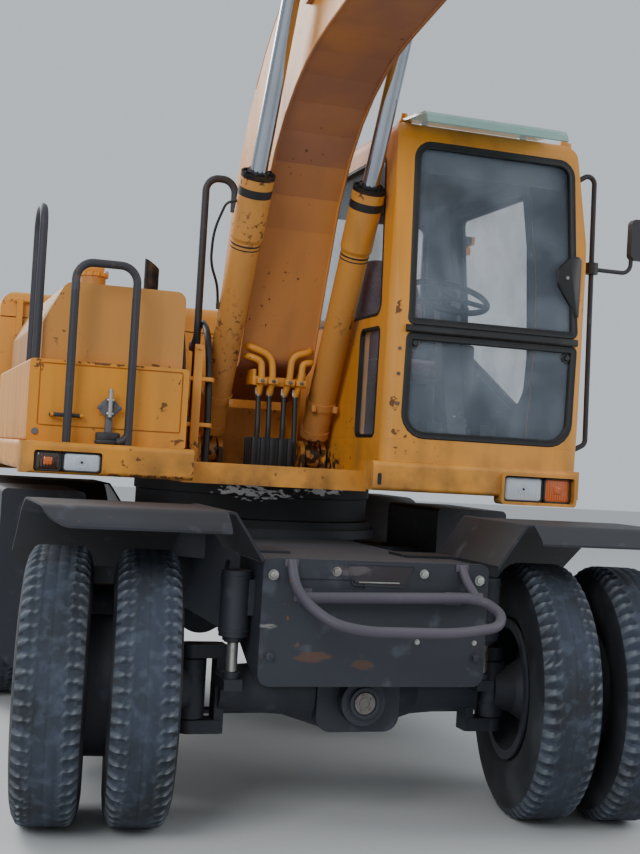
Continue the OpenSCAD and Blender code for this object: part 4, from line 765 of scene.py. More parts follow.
class EXCAVATOR_OT_tyres(bpy.types.Operator):
    """Makes the eight worn road tyres, in twins on each wheel"""
    bl_idname = "excavator.tyres"
    bl_label = "Tyres"

    def execute(self, context):
        sizes, _, _ = settings()
        for node, body, joint, side, reach in WHEELS:
            bm = bmesh.new()
            for x in TWIN_X:
                mesh = tyre_mesh(*wheel_place(joint, side, reach, x), sizes)
                bm.from_mesh(mesh)
                bpy.data.meshes.remove(mesh)
            piece(node + "_tread", bm, body, "tread", "wall", replaces=node, smooth_deg=28)
        return {"FINISHED"}


class EXCAVATOR_OT_wheel_nuts(bpy.types.Operator):
    """Puts the wheel nuts and the hub caps' bolts on the four wheels"""
    bl_idname = "excavator.wheel_nuts"
    bl_label = "Wheel nuts"

    def execute(self, context):
        for node, body, joint, side, reach in WHEELS:
            bm = bmesh.new()
            face, out = wheel_place(joint, side, reach, NUT_FACE_X)
            for place in ring_of(NUT_COUNT, face, out, NUT_CIRCLE):
                hex_bolt(bm, place, out, NUT_SIZE, washer=False)
            cap, _ = wheel_place(joint, side, reach, CAP_FACE_X)
            for place in ring_of(CAP_BOLT_COUNT, cap, out, CAP_CIRCLE):
                hex_bolt(bm, place, out, CAP_BOLT_SIZE)
            piece(node.replace("tyres", "wheel_nuts"), bm, body, "bolt steel")
        return {"FINISHED"}


# ---------------------------------------------------------------- windows

# How deep the glass lies behind the wall's outer face, the seals' widths, and how far the front ones stand proud.
GLASS_DEPTH = 18
FRONT_SEAL, BACK_SEAL, INNER_SEAL, DOOR_SEAL = 32, 24, 15, 26
FRONT_SEAL_PROUD = 4
FRONT_PANES = (
    # corners with their radii, as (x, z, radius) or (y, z, radius)
    [(361, 1988, 30), (1186, 1988, 30), (1150, 2800, 80), (367, 2800, 80)],
    [(353, 1495, 110), (1179, 1495, 110), (1186, 1952, 25), (358, 1952, 25)],
)
BACK_PANE = [(378, 2080, 60), (1093, 2080, 60), (1093, 2740, 60), (378, 2740, 60)]
INNER_PANES = (
    [(-955, 2030, 60), (440, 2030, 60), (440, 2760, 60), (-905, 2760, 60)],
    [(-955, 1490, 35), (-700, 1490, 35), (-700, 1983, 35), (-955, 1983, 35)],
)
DOOR_PANE = [(-560, 1620, 120), (250, 1990, 120), (250, 2740, 60), (-560, 2740, 60)]


def pane_seal(bm, corners, node, lay, look, wide, proud=2):
    """A rubber frame in a window's opening: its middle line is cast on the glass and lifted to the wall's outer
    face."""
    outline = rounded_outline(corners, 60)
    middle = sum(outline, Vector((0, 0))) / len(outline)
    path, ups = [], []
    for i, point in enumerate(outline):
        run = outline[(i + 1) % len(outline)] - outline[i - 1]
        outward = Vector((run.y, -run.x)).normalized()
        if outward.dot(point - middle) < 0:
            outward = -outward
        place, normal = surface(node, lay(point - outward * (wide / 2 - 1.5)) - look * 0.3, look)
        if normal.dot(look) > 0:
            normal = -normal
        path.append(place + normal * GLASS_DEPTH * MM)
        ups.append(normal)
    half, out, deep = wide / 2 * MM, proud * MM, GLASS_DEPTH * MM
    sweep(bm, path, [(-half, -deep), (half, -deep), (half, out * 0.2), (half * 0.7, out), (0, out * 0.3),
                     (-half * 0.7, out), (-half, out * 0.2)], ups, closed=True)


class EXCAVATOR_OT_window_seals(bpy.types.Operator):
    """Makes the black frames and rubber seals around the windows of the cab and of its door"""
    bl_idname = "excavator.window_seals"
    bl_label = "Window seals"

    def execute(self, context):
        bm = bmesh.new()
        for corners in FRONT_PANES:
            pane_seal(bm, corners, "cab_glass", upright(CAB_FRONT_Y), BACK, FRONT_SEAL, FRONT_SEAL_PROUD)
        piece("front_window_frames", bm, "upper", "seal")
        bm = bmesh.new()
        pane_seal(bm, BACK_PANE, "cab_glass", upright(CAB_BACK_Y), FRONT, BACK_SEAL)
        for corners in INNER_PANES:
            pane_seal(bm, corners, "cab_glass", lengthwise(CAB_X0), RIGHT, INNER_SEAL)
        piece("side_window_seals", bm, "upper", "seal")
        bm = bmesh.new()
        pane_seal(bm, DOOR_PANE, "door_glass", lengthwise(CAB_X1), LEFT, DOOR_SEAL)
        piece("door_window_seal", bm, "cab_door", "seal")
        return {"FINISHED"}


# ---------------------------------------------------------------- lamps, front plate and step

LAMPS = (
    # low x, high x, low z, high z, finish
    (-1077, -931, 1277, 1348, "lens"),
    (-1187, -1089, 1277, 1348, "smoked"),
    (860, 1043, 1249, 1351, "lens"),
    (1058, 1181, 1249, 1351, "amber"),
)
# How deep the lens is set in its box, its corner radius, its own measures, and the rings of its bulb's holder.
LENS_SET_BACK, LENS_CORNER = 20, 14
LENS_THICK, LENS_DOME, LENS_EDGE = 0.018, 0.005, 0.012
BULB_RINGS = ((0.020, 0.003), (0.010, 0.002))
LAMP_RIM = [(-0.004, -0.020), (0.006, -0.020), (0.006, 0.001), (0.003, 0.004), (-0.002, 0.003)]


class EXCAVATOR_OT_lamps(bpy.types.Operator):
    """Makes the head lamps and turn lamps with their black frames in both ends of the bumper"""
    bl_idname = "excavator.lamps"
    bl_label = "Lamps"

    def execute(self, context):
        frames = bmesh.new()
        lenses = {finish: bmesh.new() for finish in ("lens", "amber", "smoked")}
        for x0, x1, z0, z1, finish in LAMPS:
            middle, _ = surface("lamps", at((x0 + x1) / 2, -OUTSIDE, (z0 + z1) / 2), BACK)
            y = (middle.y - SLEW.y) / MM
            outline = rounded_outline(corners_of(x0, x1, z0, z1), LENS_CORNER)
            lay = upright(y + LENS_SET_BACK)
            raise_plate(lenses[finish], outline, lay, FRONT, LENS_THICK, LENS_DOME, LENS_EDGE)
            sweep(frames, [upright(y)(point) for point in outline], LAMP_RIM, FRONT, True)
            middle += FRONT * 0.002
            if finish == "lens":
                for r, thick in BULB_RINGS:
                    band(lenses["lens"], middle, FRONT, r, 0.006, thick, 32)
                round_bar(frames, middle, middle + FRONT * 0.004, 0.005, 16)
            else:
                lug(lenses["amber"], middle, (0.018, 0.006, 0.016), 0.005)
        for name, finish in (("head_lamps", "lens"), ("turn_lamps", "amber"), ("smoked_turn_lamp", "smoked")):
            piece(name, lenses[finish], "upper", finish, replaces="lamps")
        piece("lamp_frames", frames, "upper", "plastic")
        return {"FINISHED"}


PLATE_BOLTS = (
    # x, z, width across flats, painted or not
    (-404, 960, 27, False), (-165, 978, 24, False), (178, 978, 24, False), (404, 960, 27, False),
    (165, 726, 14, False), (397, 725, 14, False), (-404, 670, 27, True), (404, 670, 27, True),
)
# The recess's rim and floor as (x, z), its rim's section in metres, and low x, high x, low z, high z of its bar.
RECESS_RIM = [(-100, 931), (104, 925), (146, 1006), (-122, 1008)]
RECESS_FLOOR = [(-92, 937), (97, 931), (134, 1000), (-113, 1002)]
RIM_PROFILE = [(-0.003, 0), (0.003, 0), (0.002, 0.0035), (-0.002, 0.0035)]
RECESS_BAR = (-78, 82, 939, 944)
# Places are in millimetres, and radii and lengths in metres, here and below.
TRUNNION_Z, TRUNNION_R, TRUNNION_BOLT_CIRCLE = 485, 0.044, 0.029
RAM_X, RAM_Y, RAM_ROD_Z, RAM_BANDS_Z = 502, -1700, 592, (742, 936)
RAM_ROD_R, RAM_ROD_LENGTH, RAM_BARREL_R = 0.0206, 0.112, 0.0545


class EXCAVATOR_OT_front_plate(bpy.types.Operator):
    """Puts the bolts and the recess's rim on the front plate, the trunnion's face and the rams' bright rods"""
    bl_idname = "excavator.front_plate"
    bl_label = "Front plate"

    def execute(self, context):
        bright, painted, trim, pivot = (bmesh.new() for _ in range(4))
        for x, z, across, is_painted in PLATE_BOLTS:
            hex_bolt(painted if is_painted else bright, at(x, PLATE_Y, z), FRONT, across * MM)
        lay = upright(PLATE_Y + 0.5)
        sweep(painted, [lay(point) for point in rounded_outline(RECESS_RIM, 8, 3)], RIM_PROFILE, FRONT, True)
        raise_plate(trim, rounded_outline(RECESS_FLOOR, 6, 3), lay, FRONT, 0.0015)
        x0, x1, z0, z1 = RECESS_BAR
        block(bright, at(x0, PLATE_Y - 4, z0), at(x1, PLATE_Y, z1), 0.001)

        knob, _ = surface("front_axle", at(0, -OUTSIDE, TRUNNION_Z), BACK)
        round_bar(pivot, knob - FRONT * 0.002, knob + FRONT * 0.006, TRUNNION_R, 32, TRUNNION_R - 0.004)
        band(pivot, knob + FRONT * 0.007, FRONT, 0.016, 0.004, 0.006, 32)
        for spot in ring_of(5, knob + FRONT * 0.005, FRONT, TRUNNION_BOLT_CIRCLE, 0.4):
            hex_bolt(pivot, spot, FRONT, 0.010, washer=False)
        band(painted, knob, FRONT, TRUNNION_R + 0.002, 0.012, 0.012, 40)

        for x in (-RAM_X, RAM_X):
            foot = at(x, RAM_Y, RAM_ROD_Z)
            round_bar(bright, foot, foot + UP * RAM_ROD_LENGTH, RAM_ROD_R, 24)
            band(trim, foot + UP * 0.110, UP, 0.021, 0.006, 0.012, 32)
            for z in RAM_BANDS_Z:
                band(painted, at(x, RAM_Y, z), UP, RAM_BARREL_R, 0.010, 0.004, 40)
        piece("plate_bolts", bright, "chassis", "bolt steel")
        piece("plate_rims", painted, "chassis", "chassis")
        piece("trunnion_face", pivot, "chassis", "steel")
        piece("plate_recess", trim, "chassis", "primer")
        return {"FINISHED"}


# Corners of the step's bow and of its post as (x, y, z), and the straight tread tube with its rise for each x.
STEP_BOW = [(-338, -1838, 1012), (-330, -1872, 925), (-306, -1960, 868), (-236, -2040, 812), (-120, -2068, 792),
            (220, -2072, 790), (392, -2050, 812), (436, -1985, 850), (408, -1900, 886), (330, -1884, 896)]
STEP_POST = [(331, -1838, 1012), (340, -1862, 960), (372, -1886, 905)]
TREAD_TUBE_X, TREAD_TUBE_Y, TREAD_TUBE_Z, TREAD_TUBE_RISE = (-316, -100, 150, 396), -1884, 890, 0.02
BOW_R, POST_R, TREAD_TUBE_R, BRACKET_R = 0.019, 0.017, 0.021, 0.012
BRACKETS_X = (-290, 300)


class EXCAVATOR_OT_front_step(bpy.types.Operator):
    """Makes the bent tube step in front of the plate, with its straight tread tube and its feet"""
    bl_idname = "excavator.front_step"
    bl_label = "Front step"

    def execute(self, context):
        bm = bmesh.new()
        tube(bm, STEP_BOW, BOW_R, 0.080)
        tube(bm, STEP_POST, POST_R, 0.030)
        tread = [at(x, TREAD_TUBE_Y, TREAD_TUBE_Z + x * TREAD_TUBE_RISE) for x in TREAD_TUBE_X]
        sweep(bm, tread, circle_profile(TREAD_TUBE_R, 16))
        for x in BRACKETS_X:
            bracket = [at(x, y, TREAD_TUBE_Z) for y in (TREAD_TUBE_Y, -1860, PLATE_Y + 3)]
            sweep(bm, bracket, circle_profile(BRACKET_R, 12))
            block(bm, at(x - 34, PLATE_Y - 6, 866), at(x + 34, PLATE_Y + 2, 914), 0.003)
        for x in (STEP_BOW[0][0], STEP_POST[0][0]):
            block(bm, at(x - 26, PLATE_Y - 6, 990), at(x + 26, PLATE_Y + 2, 1018), 0.003)
        piece("front_step_tubes", bm, "chassis", "step", replaces="front_step")
        return {"FINISHED"}


# ---------------------------------------------------------------- boom pipes and hoses

PIPE_Y = -572
PIPE_END_Y, PIPE_END_Z = -540, 1662
BOOM_PIPES = (
    # corners of one pipe from the boom's face to its fitting, as x, y, z
    [(-214, -500, 1880), (-205, PIPE_Y, 1876), (-96, PIPE_Y, 1838), (-88, PIPE_Y, 1730), (-92, PIPE_END_Y, PIPE_END_Z)],
    [(-214, -500, 1835), (-200, PIPE_Y, 1829), (-146, PIPE_Y, 1812), (-140, PIPE_Y, 1730),
     (-144, PIPE_END_Y, PIPE_END_Z)],
    [(94, -500, 1890), (88, PIPE_Y, 1872), (-2, PIPE_Y, 1846), (-8, PIPE_Y, 1730), (-22, PIPE_END_Y, PIPE_END_Z)],
    [(100, -500, 1824), (92, PIPE_Y, 1822), (52, PIPE_Y, 1815), (46, PIPE_Y, 1730), (32, PIPE_END_Y, PIPE_END_Z)],
)
PIPE_R, PIPE_BEND = 0.0155, 0.075
PIPE_BAR_X, PIPE_BAR_Z, BAR_LUGS_X = (-178, 84), 1722, (-168, 70)


class EXCAVATOR_OT_boom_pipes(bpy.types.Operator):
    """Makes the four bent pipes under the boom's foot with their clamp bar and clamp bolts"""
    bl_idname = "excavator.boom_pipes"
    bl_label = "Boom pipes"

    def execute(self, context):
        pipes, bolts = bmesh.new(), bmesh.new()
        for corners in BOOM_PIPES:
            tube(pipes, corners, PIPE_R, PIPE_BEND, 14)
            clamp = at(corners[3][0], PIPE_Y, PIPE_BAR_Z)
            block(pipes, clamp - Vector((0.024, 0.020, 0.014)), clamp + Vector((0.024, 0.024, 0.014)), 0.005)
            hex_bolt(bolts, clamp + FRONT * 0.020, FRONT, 0.013)
        left, right = PIPE_BAR_X
        block(pipes, at(left, PIPE_Y + 17, PIPE_BAR_Z - 20), at(right, PIPE_Y + 29, PIPE_BAR_Z + 22), 0.004)
        for x in BAR_LUGS_X:
            block(pipes, at(x - 8, PIPE_Y + 24, PIPE_BAR_Z - 16), at(x + 8, -430, PIPE_BAR_Z + 54), 0.003)
        piece("boom_pipes", pipes, "boom", "enamel")
        piece("boom_pipe_bolts", bolts, "boom", "steel")
        return {"FINISHED"}


def hose(name, corners, diameter, body, other=None, bend=0.06):
    """A hydraulic hose through corners in millimetres, with its fitting. It may run between two bodies: then the hose
    rides on none and its fitting on the other.
    """
    path = smooth_path([at(*corner) for corner in corners], bend, 8)
    bm = bmesh.new()
    sweep(bm, path, circle_profile(diameter / 2, 14))
    made = piece(name, bm, None if other else body, "hose")
    run = (path[-1] - path[-2]).normalized()
    end = bmesh.new()
    round_bar(end, path[-1] - run * 0.016, path[-1] - run * 0.004, diameter * 0.58, 16)
    round_bar(end, path[-1] - run * 0.005, path[-1] + run * 0.022, diameter * 0.78, 6)
    fitting = piece(name + "_fitting", end, other or body, "steel")
    if other:
        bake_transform(made)


FOOT_HOSE_D, DECK_HOSE_D, BARREL_HOSE_D = 0.024, 0.030, 0.012
# x and z of the place where each foot hose leaves the boot or the deck
HOSE_FEET = ((-96, 1460), (-148, 1460), (-28, 1460), (32, 1318))
BOOT_FOLDS_X = range(-174, 0, 42)
BOOT_BANDS_Y = (-610, -570, -530)
DECK_Z = 1318
DECK_HOSES_X = (-532, -412)
DECK_HOSE = ((0, -700, DECK_Z), (0, -704, 1500), (-4, -690, 1760), (0, -600, 1930), (6, -420, 1990), (6, -300, 1880))
DECK_CLAMPS_Z = (1500, 1700)
# y and z of the boom cylinders' foot, and the millimetres each way for a metre along the barrel
BARREL_FOOT, BARREL_RUN = (-300, 1395), (-481.1, 876.7)
# x, and the metres along the barrel
BARREL_LOOP = ((-384, 1.225), (-430, 1.21), (-463, 1.08), (-452, 0.93), (-404, 0.83), (-387, 0.74))


class EXCAVATOR_OT_hoses(bpy.types.Operator):
    """Lays the hydraulic hoses between the deck, the boom and the cylinders"""
    bl_idname = "excavator.hoses"
    bl_label = "Hoses"

    def execute(self, context):
        for i, ((x, z), corners) in enumerate(zip(HOSE_FEET, BOOM_PIPES)):
            top = corners[-1][0]
            route = [(x, PIPE_Y + 2, z), (x, PIPE_Y, z + 50), (top, PIPE_END_Y - 10, PIPE_END_Z - 50),
                     (top, PIPE_END_Y - 1, PIPE_END_Z + 6)]
            hose(f"boom_foot_hose_{i + 1}", route, FOOT_HOSE_D, "upper", "boom")

        boot = bmesh.new()
        block(boot, at(-183, -632, 1316), at(3, -508, 1458), 0.006)
        for x in BOOT_FOLDS_X:
            block(boot, at(x - 14, -642, DECK_Z), at(x + 14, -498, 1465), 0.010)
        for y in BOOT_BANDS_Y:
            block(boot, at(-192, y - 9, DECK_Z), at(12, y + 9, 1462), 0.007)
        piece("hose_boot", boot, "upper", "seal", replaces="hose_box")

        for i, x in enumerate(DECK_HOSES_X):
            hose(f"deck_hose_{i + 1}", [(x + dx, y, z) for dx, y, z in DECK_HOSE], DECK_HOSE_D, "upper", None, 0.12)
        bar = bmesh.new()
        block(bar, at(-500, -762, 1315), at(-462, -750, 1850), 0.003)
        block(bar, at(-540, -764, 1315), at(-440, -722, 1327), 0.003)
        for x in (-488, -474):
            hex_bolt(bar, at(x, -762, 1830), FRONT, 0.010)
        for z in DECK_CLAMPS_Z:
            for x in DECK_HOSES_X:
                band(bar, at(x, -702, z), UP, 0.0155, 0.018, 0.004, 24)
            block(bar, at(-530, -752, z - 9), at(-414, -716, z + 9), 0.003)
        piece("deck_hose_bar", bar, "upper", "enamel")

        loop = [(x, BARREL_FOOT[0] + BARREL_RUN[0] * reach, BARREL_FOOT[1] + BARREL_RUN[1] * reach)
                for x, reach in BARREL_LOOP]
        hose("barrel_hose", loop, BARREL_HOSE_D, "boom_barrels", None, 0.09)
        return {"FINISHED"}


# ---------------------------------------------------------------- cylinders and pins

CYLINDERS = {
    # node of the barrels: x of each barrel, its length, radius, rod's radius and head sleeve's length, in metres
    "boom_barrels": ((GEAR_X - 254, GEAR_X + 254), 1.340, 0.065, 0.037, 0.270),
    "arm_barrel": ((GEAR_X,), None, 0.060, 0.034, 0.180),
    "bucket_barrel": ((GEAR_X,), None, 0.060, 0.034, 0.160),
}
HEAD_WALL = 0.008
# Along the barrel from its foot: the hose clamp and the lower port. The upper port is reckoned from the head's end.
HOSE_CLAMP_REACH, LOWER_PORT_REACH, UPPER_PORT_BACK = 0.285, 0.22, 0.10
EAR_ARM, EAR_LEANS = 0.082, (-0.7, 0.7)
PORT_R, PORT_LENGTH = 0.017, 0.026


def cylinder_head(heads, bolts, bands, end, run, r, rod, sleeve):
    """A barrel's head: a thicker sleeve, a bolted ring round the rod, and dark bands. It ends at end, along run."""
    wide = r + HEAD_WALL
    low = end - run * sleeve
    round_bar(heads, low, end - run * 0.05, wide - 0.0006, 40)
    round_bar(heads, low - run * 0.016, low + run * 0.0005, r + 0.0006, 40, wide - 0.0006)
    band(bolts, end + run * 0.008, run, rod + 0.008, 0.018, wide - 0.006 - rod, 40)
    for place in ring_of(8, end + run * 0.016, run, wide - 0.014, 0.3):
        hex_bolt(bolts, place, run, 0.015)
    band(bands, end - run * 0.062, run, wide - 0.0004, 0.036, 0.0012)
    band(bands, low - run * 0.030, run, r - 0.0004, 0.007, 0.0014)
    band(bands, low - run * 0.048, run, r - 0.0004, 0.005, 0.0014)
    band(bands, end + run * 0.020, run, rod + 0.0015, 0.010, 0.009, 32)


class EXCAVATOR_OT_cylinder_heads(bpy.types.Operator):
    """Makes the bolted heads, dark bands, ports and hose clamps on the barrels of the cylinders"""
    bl_idname = "excavator.cylinder_heads"
    bl_label = "Cylinder heads"

    def execute(self, context):
        for node, (places_x, length, r, rod, sleeve) in CYLINDERS.items():
            heads, bolts, bands, clamps = (bmesh.new() for _ in range(4))
            run = Vector(JOINTS[node.replace("barrel", "rod") + "_stroke"]["axis"]).normalized()
            port = run.cross(RIGHT).normalized()
            for x in places_x:
                foot = pin(node + "_tilt")
                foot.x = at(x, 0, 0).x
                if length is None:
                    start = foot + run * 3 + run.orthogonal().normalized() * (r + 0.004)
                    place, _ = surface(node, start, -run)
                    length = (place - foot).dot(run)
                cylinder_head(heads, bolts, bands, foot + run * length, run, r, rod, sleeve)
                if node == "boom_barrels":
                    clamp = foot + run * HOSE_CLAMP_REACH
                    band(clamps, clamp, run, r - 0.0004, 0.034, 0.007)
                    for lean in EAR_LEANS:
                        ear = clamp - (port * cos(lean) + RIGHT * sin(lean)) * EAR_ARM
                        lug(clamps, ear, (0.010, 0.014, 0.016), 0.003)
                for reach in (length - UPPER_PORT_BACK, LOWER_PORT_REACH):
                    seat = foot + run * reach + port * (r - 0.004)
                    round_bar(heads, seat, seat + port * PORT_LENGTH, PORT_R, 16)
            piece(node + "_heads", heads, node, "cylinder enamel")
            piece(node + "_bolts", bolts, node, "sooty steel")
            piece(node + "_bands", bands, node, "seal")
            if clamps.verts:
                piece(node + "_clamps", clamps, node, "cylinder enamel")
        return {"FINISHED"}


PIN_CAP = 40
PINS = {
    # body: y and z of the pin, x of each end face and the way it looks
    "boom_rods": (-1340, 3290, ((-352, LEFT), (232, RIGHT))),
    "boom": (-4100, 3570, ((GEAR_X - 183, LEFT), (GEAR_X + 183, RIGHT))),
}


class EXCAVATOR_OT_pin_caps(bpy.types.Operator):
    """Puts bolted caps on the ends of the boom's pins"""
    bl_idname = "excavator.pin_caps"
    bl_label = "Pin caps"

    def execute(self, context):
        for body, (y, z, ends) in PINS.items():
            bm = bmesh.new()
            for x, out in ends:
                face = at(x, y, z)
                round_bar(bm, face - out * 0.001, face + out * 0.006, PIN_CAP * MM, 28)
                for place in ring_of(3, face + out * 0.006, out, PIN_CAP * MM * 0.6):
                    hex_bolt(bm, place, out, 0.015, washer=False)
            piece(body + "_pin_caps", bm, body, "steel")
        return {"FINISHED"}


# ---------------------------------------------------------------- tool box and cab fittings

# The hasp's middle and its diamond as (x, z, corner radius), its pin, the rail's bent foot and the box's handle.
HASP_X, HASP_Z, HASP_Y = -888, 1540, TOOL_BOX_Y - 25
HASP_DIAMOND = [(HASP_X - 56, HASP_Z, 30), (HASP_X, HASP_Z + 52, 20), (HASP_X + 56, HASP_Z, 30),
                (HASP_X, HASP_Z - 52, 20)]
HASP_PIN_Y = TOOL_BOX_Y - 46
RAIL_BEND = [(-810, -995, 1470), (-810, -995, 1432), (-826, -992, 1408), (-850, -985, 1400)]
BOX_HANDLE = [(-1120, -929, 1500), (-1120, -960, 1500), (-1000, -960, 1500), (-1000, -929, 1500)]


class EXCAVATOR_OT_hasp(bpy.types.Operator):
    """Makes the tool box's hasp with its pin, post and foot, its handle and its drain cap"""
    bl_idname = "excavator.hasp"
    bl_label = "Hasp"

    def execute(self, context):
        grey, bright, dark = (bmesh.new() for _ in range(3))
        raise_plate(grey, rounded_outline(HASP_DIAMOND, 24), upright(HASP_Y), FRONT, 0.008, 0.003, 0.010)
        block(grey, at(-900, -962, 1430), at(-872, TOOL_BOX_Y, 1505), 0.006)
        for x in (-930, -846):
            hex_bolt(grey, at(x, HASP_Y - 8, HASP_Z), FRONT, 0.012)
        round_bar(bright, at(-887, HASP_PIN_Y, 1502), at(-887, HASP_PIN_Y, 1612), 0.010, 16)
        round_bar(bright, at(-887, HASP_PIN_Y, 1606), at(-887, HASP_PIN_Y, 1620), 0.014, 16, 0.006)
        for z in (1510, 1566):
            block(bright, at(-902, -984, z), at(-872, -960, z + 12), 0.004)
        block(dark, at(-938, -985, 1391), at(-830, TOOL_BOX_Y, 1408), 0.005)
        block(dark, at(-936, -976, 1406), at(-838, TOOL_BOX_Y - 1, 1440), 0.008)
        tube(dark, RAIL_BEND, 0.0172, 0.03)
        tube(dark, BOX_HANDLE, 0.0088, 0.012, 12)
        round_bar(grey, at(-1180, TOOL_BOX_Y + 1, 1428), at(-1180, TOOL_BOX_Y - 7, 1428), 0.015, 20, 0.012)
        piece("tool_box_hasp", grey, "upper", "hasp grey")
        piece("tool_box_pin", bright, "upper", "bolt steel")
        piece("tool_box_handle", dark, "upper", "rail")
        return {"FINISHED"}


# x and z of the knobs on the lower pane, and the rail between the panes with its section.
GLASS_KNOBS = ((398, 1908), (1140, 1900))
SASH_RAIL_X, SASH_RAIL_Z, SASH_RAIL_STEPS = (352, 1184), 1970, 12
SASH_RAIL = [(-0.016, -0.002), (0.016, -0.002), (0.016, 0.010), (0.010, 0.016), (-0.010, 0.016), (-0.016, 0.010)]
POST_SCREWS = ((330, 1640), (330, 1770), (330, 1880))


class EXCAVATOR_OT_cab_fittings(bpy.types.Operator):
    """Makes the knobs on the front window's lower pane, the rail between its panes and the screws in its post"""
    bl_idname = "excavator.cab_fittings"
    bl_label = "Cab fittings"

    def execute(self, context):
        dark, steel = bmesh.new(), bmesh.new()
        for x, z in GLASS_KNOBS:
            place, _ = surface("cab_glass", at(x, CAB_OUTSIDE_Y, z), BACK)
            round_bar(dark, place - FRONT * 0.002, place + FRONT * 0.010, 0.022, 24)
            round_bar(dark, place + FRONT * 0.009, place + FRONT * 0.024, 0.014, 20, 0.011)
        left, right = (at(x, CAB_OUTSIDE_Y, SASH_RAIL_Z) for x in SASH_RAIL_X)
        starts = [left.lerp(right, i / SASH_RAIL_STEPS) for i in range(SASH_RAIL_STEPS + 1)]
        sweep(dark, [surface("cab_front", start, BACK)[0] for start in starts], SASH_RAIL, FRONT)
        for x, z in POST_SCREWS:
            place, _ = surface("cab_front", at(x, CAB_OUTSIDE_Y, z), BACK)
            round_bar(steel, place - FRONT * 0.002, place + FRONT * 0.004, 0.008, 12)
        piece("front_window_fittings", dark, "upper", "plastic")
        piece("cab_post_screws", steel, "upper", "steel")
        return {"FINISHED"}


# The window's lock as (x, z, corner radius), and the places of the stubs and of the tank's cap.
WINDOW_LOCK = [(1188, 2368, 20), (1128, 2352, 40), (1078, 2300, 40), (1076, 2232, 40), (1120, 2168, 40),
               (1158, 2120, 40), (1188, 2040, 10)]
WINDOW_LOCK_Y = CAB_FRONT_Y + 17
ROOF_STUBS_X = (358, 1160)
TANK_CAP_X, TANK_CAP_Y = -895, -300


class EXCAVATOR_OT_small_trim(bpy.types.Operator):
    """Makes the window's lock, the roof's lamp stubs, the tank's cap and the slot in the bumper's end"""
    bl_idname = "excavator.small_trim"
    bl_label = "Small trim"

    def execute(self, context):
        dark, yellow, bright = (bmesh.new() for _ in range(3))
        raise_plate(dark, rounded_outline(WINDOW_LOCK, 20), upright(WINDOW_LOCK_Y), FRONT, 0.016, 0.004, 0.008)
        round_bar(bright, at(1118, CAB_FRONT_Y - 2, 2262), at(1118, CAB_FRONT_Y - 8, 2262), 0.010, 20, 0.008)
        slot = rounded_outline(corners_of(254, 272, 1286, 1338), 9)
        raise_plate(dark, slot, upright(BUMPER_Y + 0.5), FRONT, 0.0012)
        for x in ROOF_STUBS_X:
            block(yellow, at(x - 30, -925, 2876), at(x + 30, -868, 2916), 0.012)
            round_bar(yellow, at(x, -896, 2912), at(x, -896, 2944), 0.019, 20, 0.014)
        round_bar(yellow, at(TANK_CAP_X, TANK_CAP_Y, 2156), at(TANK_CAP_X, TANK_CAP_Y, 2172), 0.064, 40, 0.058)
        for spot in ring_of(12, at(TANK_CAP_X, TANK_CAP_Y, 2168), UP, 0.060):
            round_bar(yellow, spot - UP * 0.012, spot + UP * 0.006, 0.008, 10)
        block(yellow, at(TANK_CAP_X - 50, TANK_CAP_Y - 11, 2170), at(TANK_CAP_X + 50, TANK_CAP_Y + 11, 2204), 0.008)
        block(bright, at(-850, TANK_CAP_Y - 14, 2150), at(-826, TANK_CAP_Y + 14, 2186), 0.005)
        piece("cab_lock", dark, "upper", "plastic")
        piece("roof_stubs_and_cap", yellow, "upper", "enamel")
        piece("small_locks", bright, "upper", "bolt steel")
        return {"FINISHED"}


MIRROR_FACE = corners_of(1517, 1663, 2412, 2578)
MIRROR_Y = -925.5
MIRROR_RIM = [(-0.006, 0), (0.006, 0), (0.006, 0.005), (0, 0.007), (-0.006, 0.005)]


class EXCAVATOR_OT_mirror(bpy.types.Operator):
    """Puts the silvered glass and its rim on the back of the mirror's head"""
    bl_idname = "excavator.mirror"
    bl_label = "Mirror"

    def execute(self, context):
        glass, rim = bmesh.new(), bmesh.new()
        lay = upright(MIRROR_Y)
        outline = rounded_outline(MIRROR_FACE, 18)
        raise_plate(glass, outline, lay, BACK, 0.003, 0.001, 0.004)
        sweep(rim, [lay(point) for point in outline], MIRROR_RIM, BACK, True)
        piece("mirror_glass", glass, "upper", "mirror")
        piece("mirror_rim", rim, "upper", "plastic")
        return {"FINISHED"}


TAIL_LAMP_X, TAIL_LAMP_Z, TAIL_LAMP_HALF = 300, 885, (58, 25)
TAIL_LAMP_RIM = [(-0.003, 0), (0.006, -0.008), (0.006, 0.005), (-0.002, 0.008)]


class EXCAVATOR_OT_tail_lamps(bpy.types.Operator):
    """Makes the red tail lamps and their rims on the chassis's rear box"""
    bl_idname = "excavator.tail_lamps"
    bl_label = "Tail lamps"

    def execute(self, context):
        red, rim = bmesh.new(), bmesh.new()
        wide, tall = TAIL_LAMP_HALF
        for x in (-TAIL_LAMP_X, TAIL_LAMP_X):
            face, _ = surface("rear_box", at(x, OUTSIDE, TAIL_LAMP_Z), FRONT)
            lay = upright((face.y - SLEW.y) / MM - 1)
            outline = rounded_outline(corners_of(x - wide, x + wide, TAIL_LAMP_Z - tall, TAIL_LAMP_Z + tall), 12)
            raise_plate(red, outline, lay, BACK, 0.006, 0.004, 0.010)
            sweep(rim, [lay(point) for point in outline], TAIL_LAMP_RIM, BACK, True)
        piece("tail_lamps", red, "chassis", "red lens")
        piece("tail_lamp_rims", rim, "chassis", "plastic")
        return {"FINISHED"}


HANDLE_X, HANDLE_Y, HANDLE_ENDS_Z = CAB_X1 + 20, -570, (1812, 1928)
DOOR_LOCKS_Z = (1760, 1990)


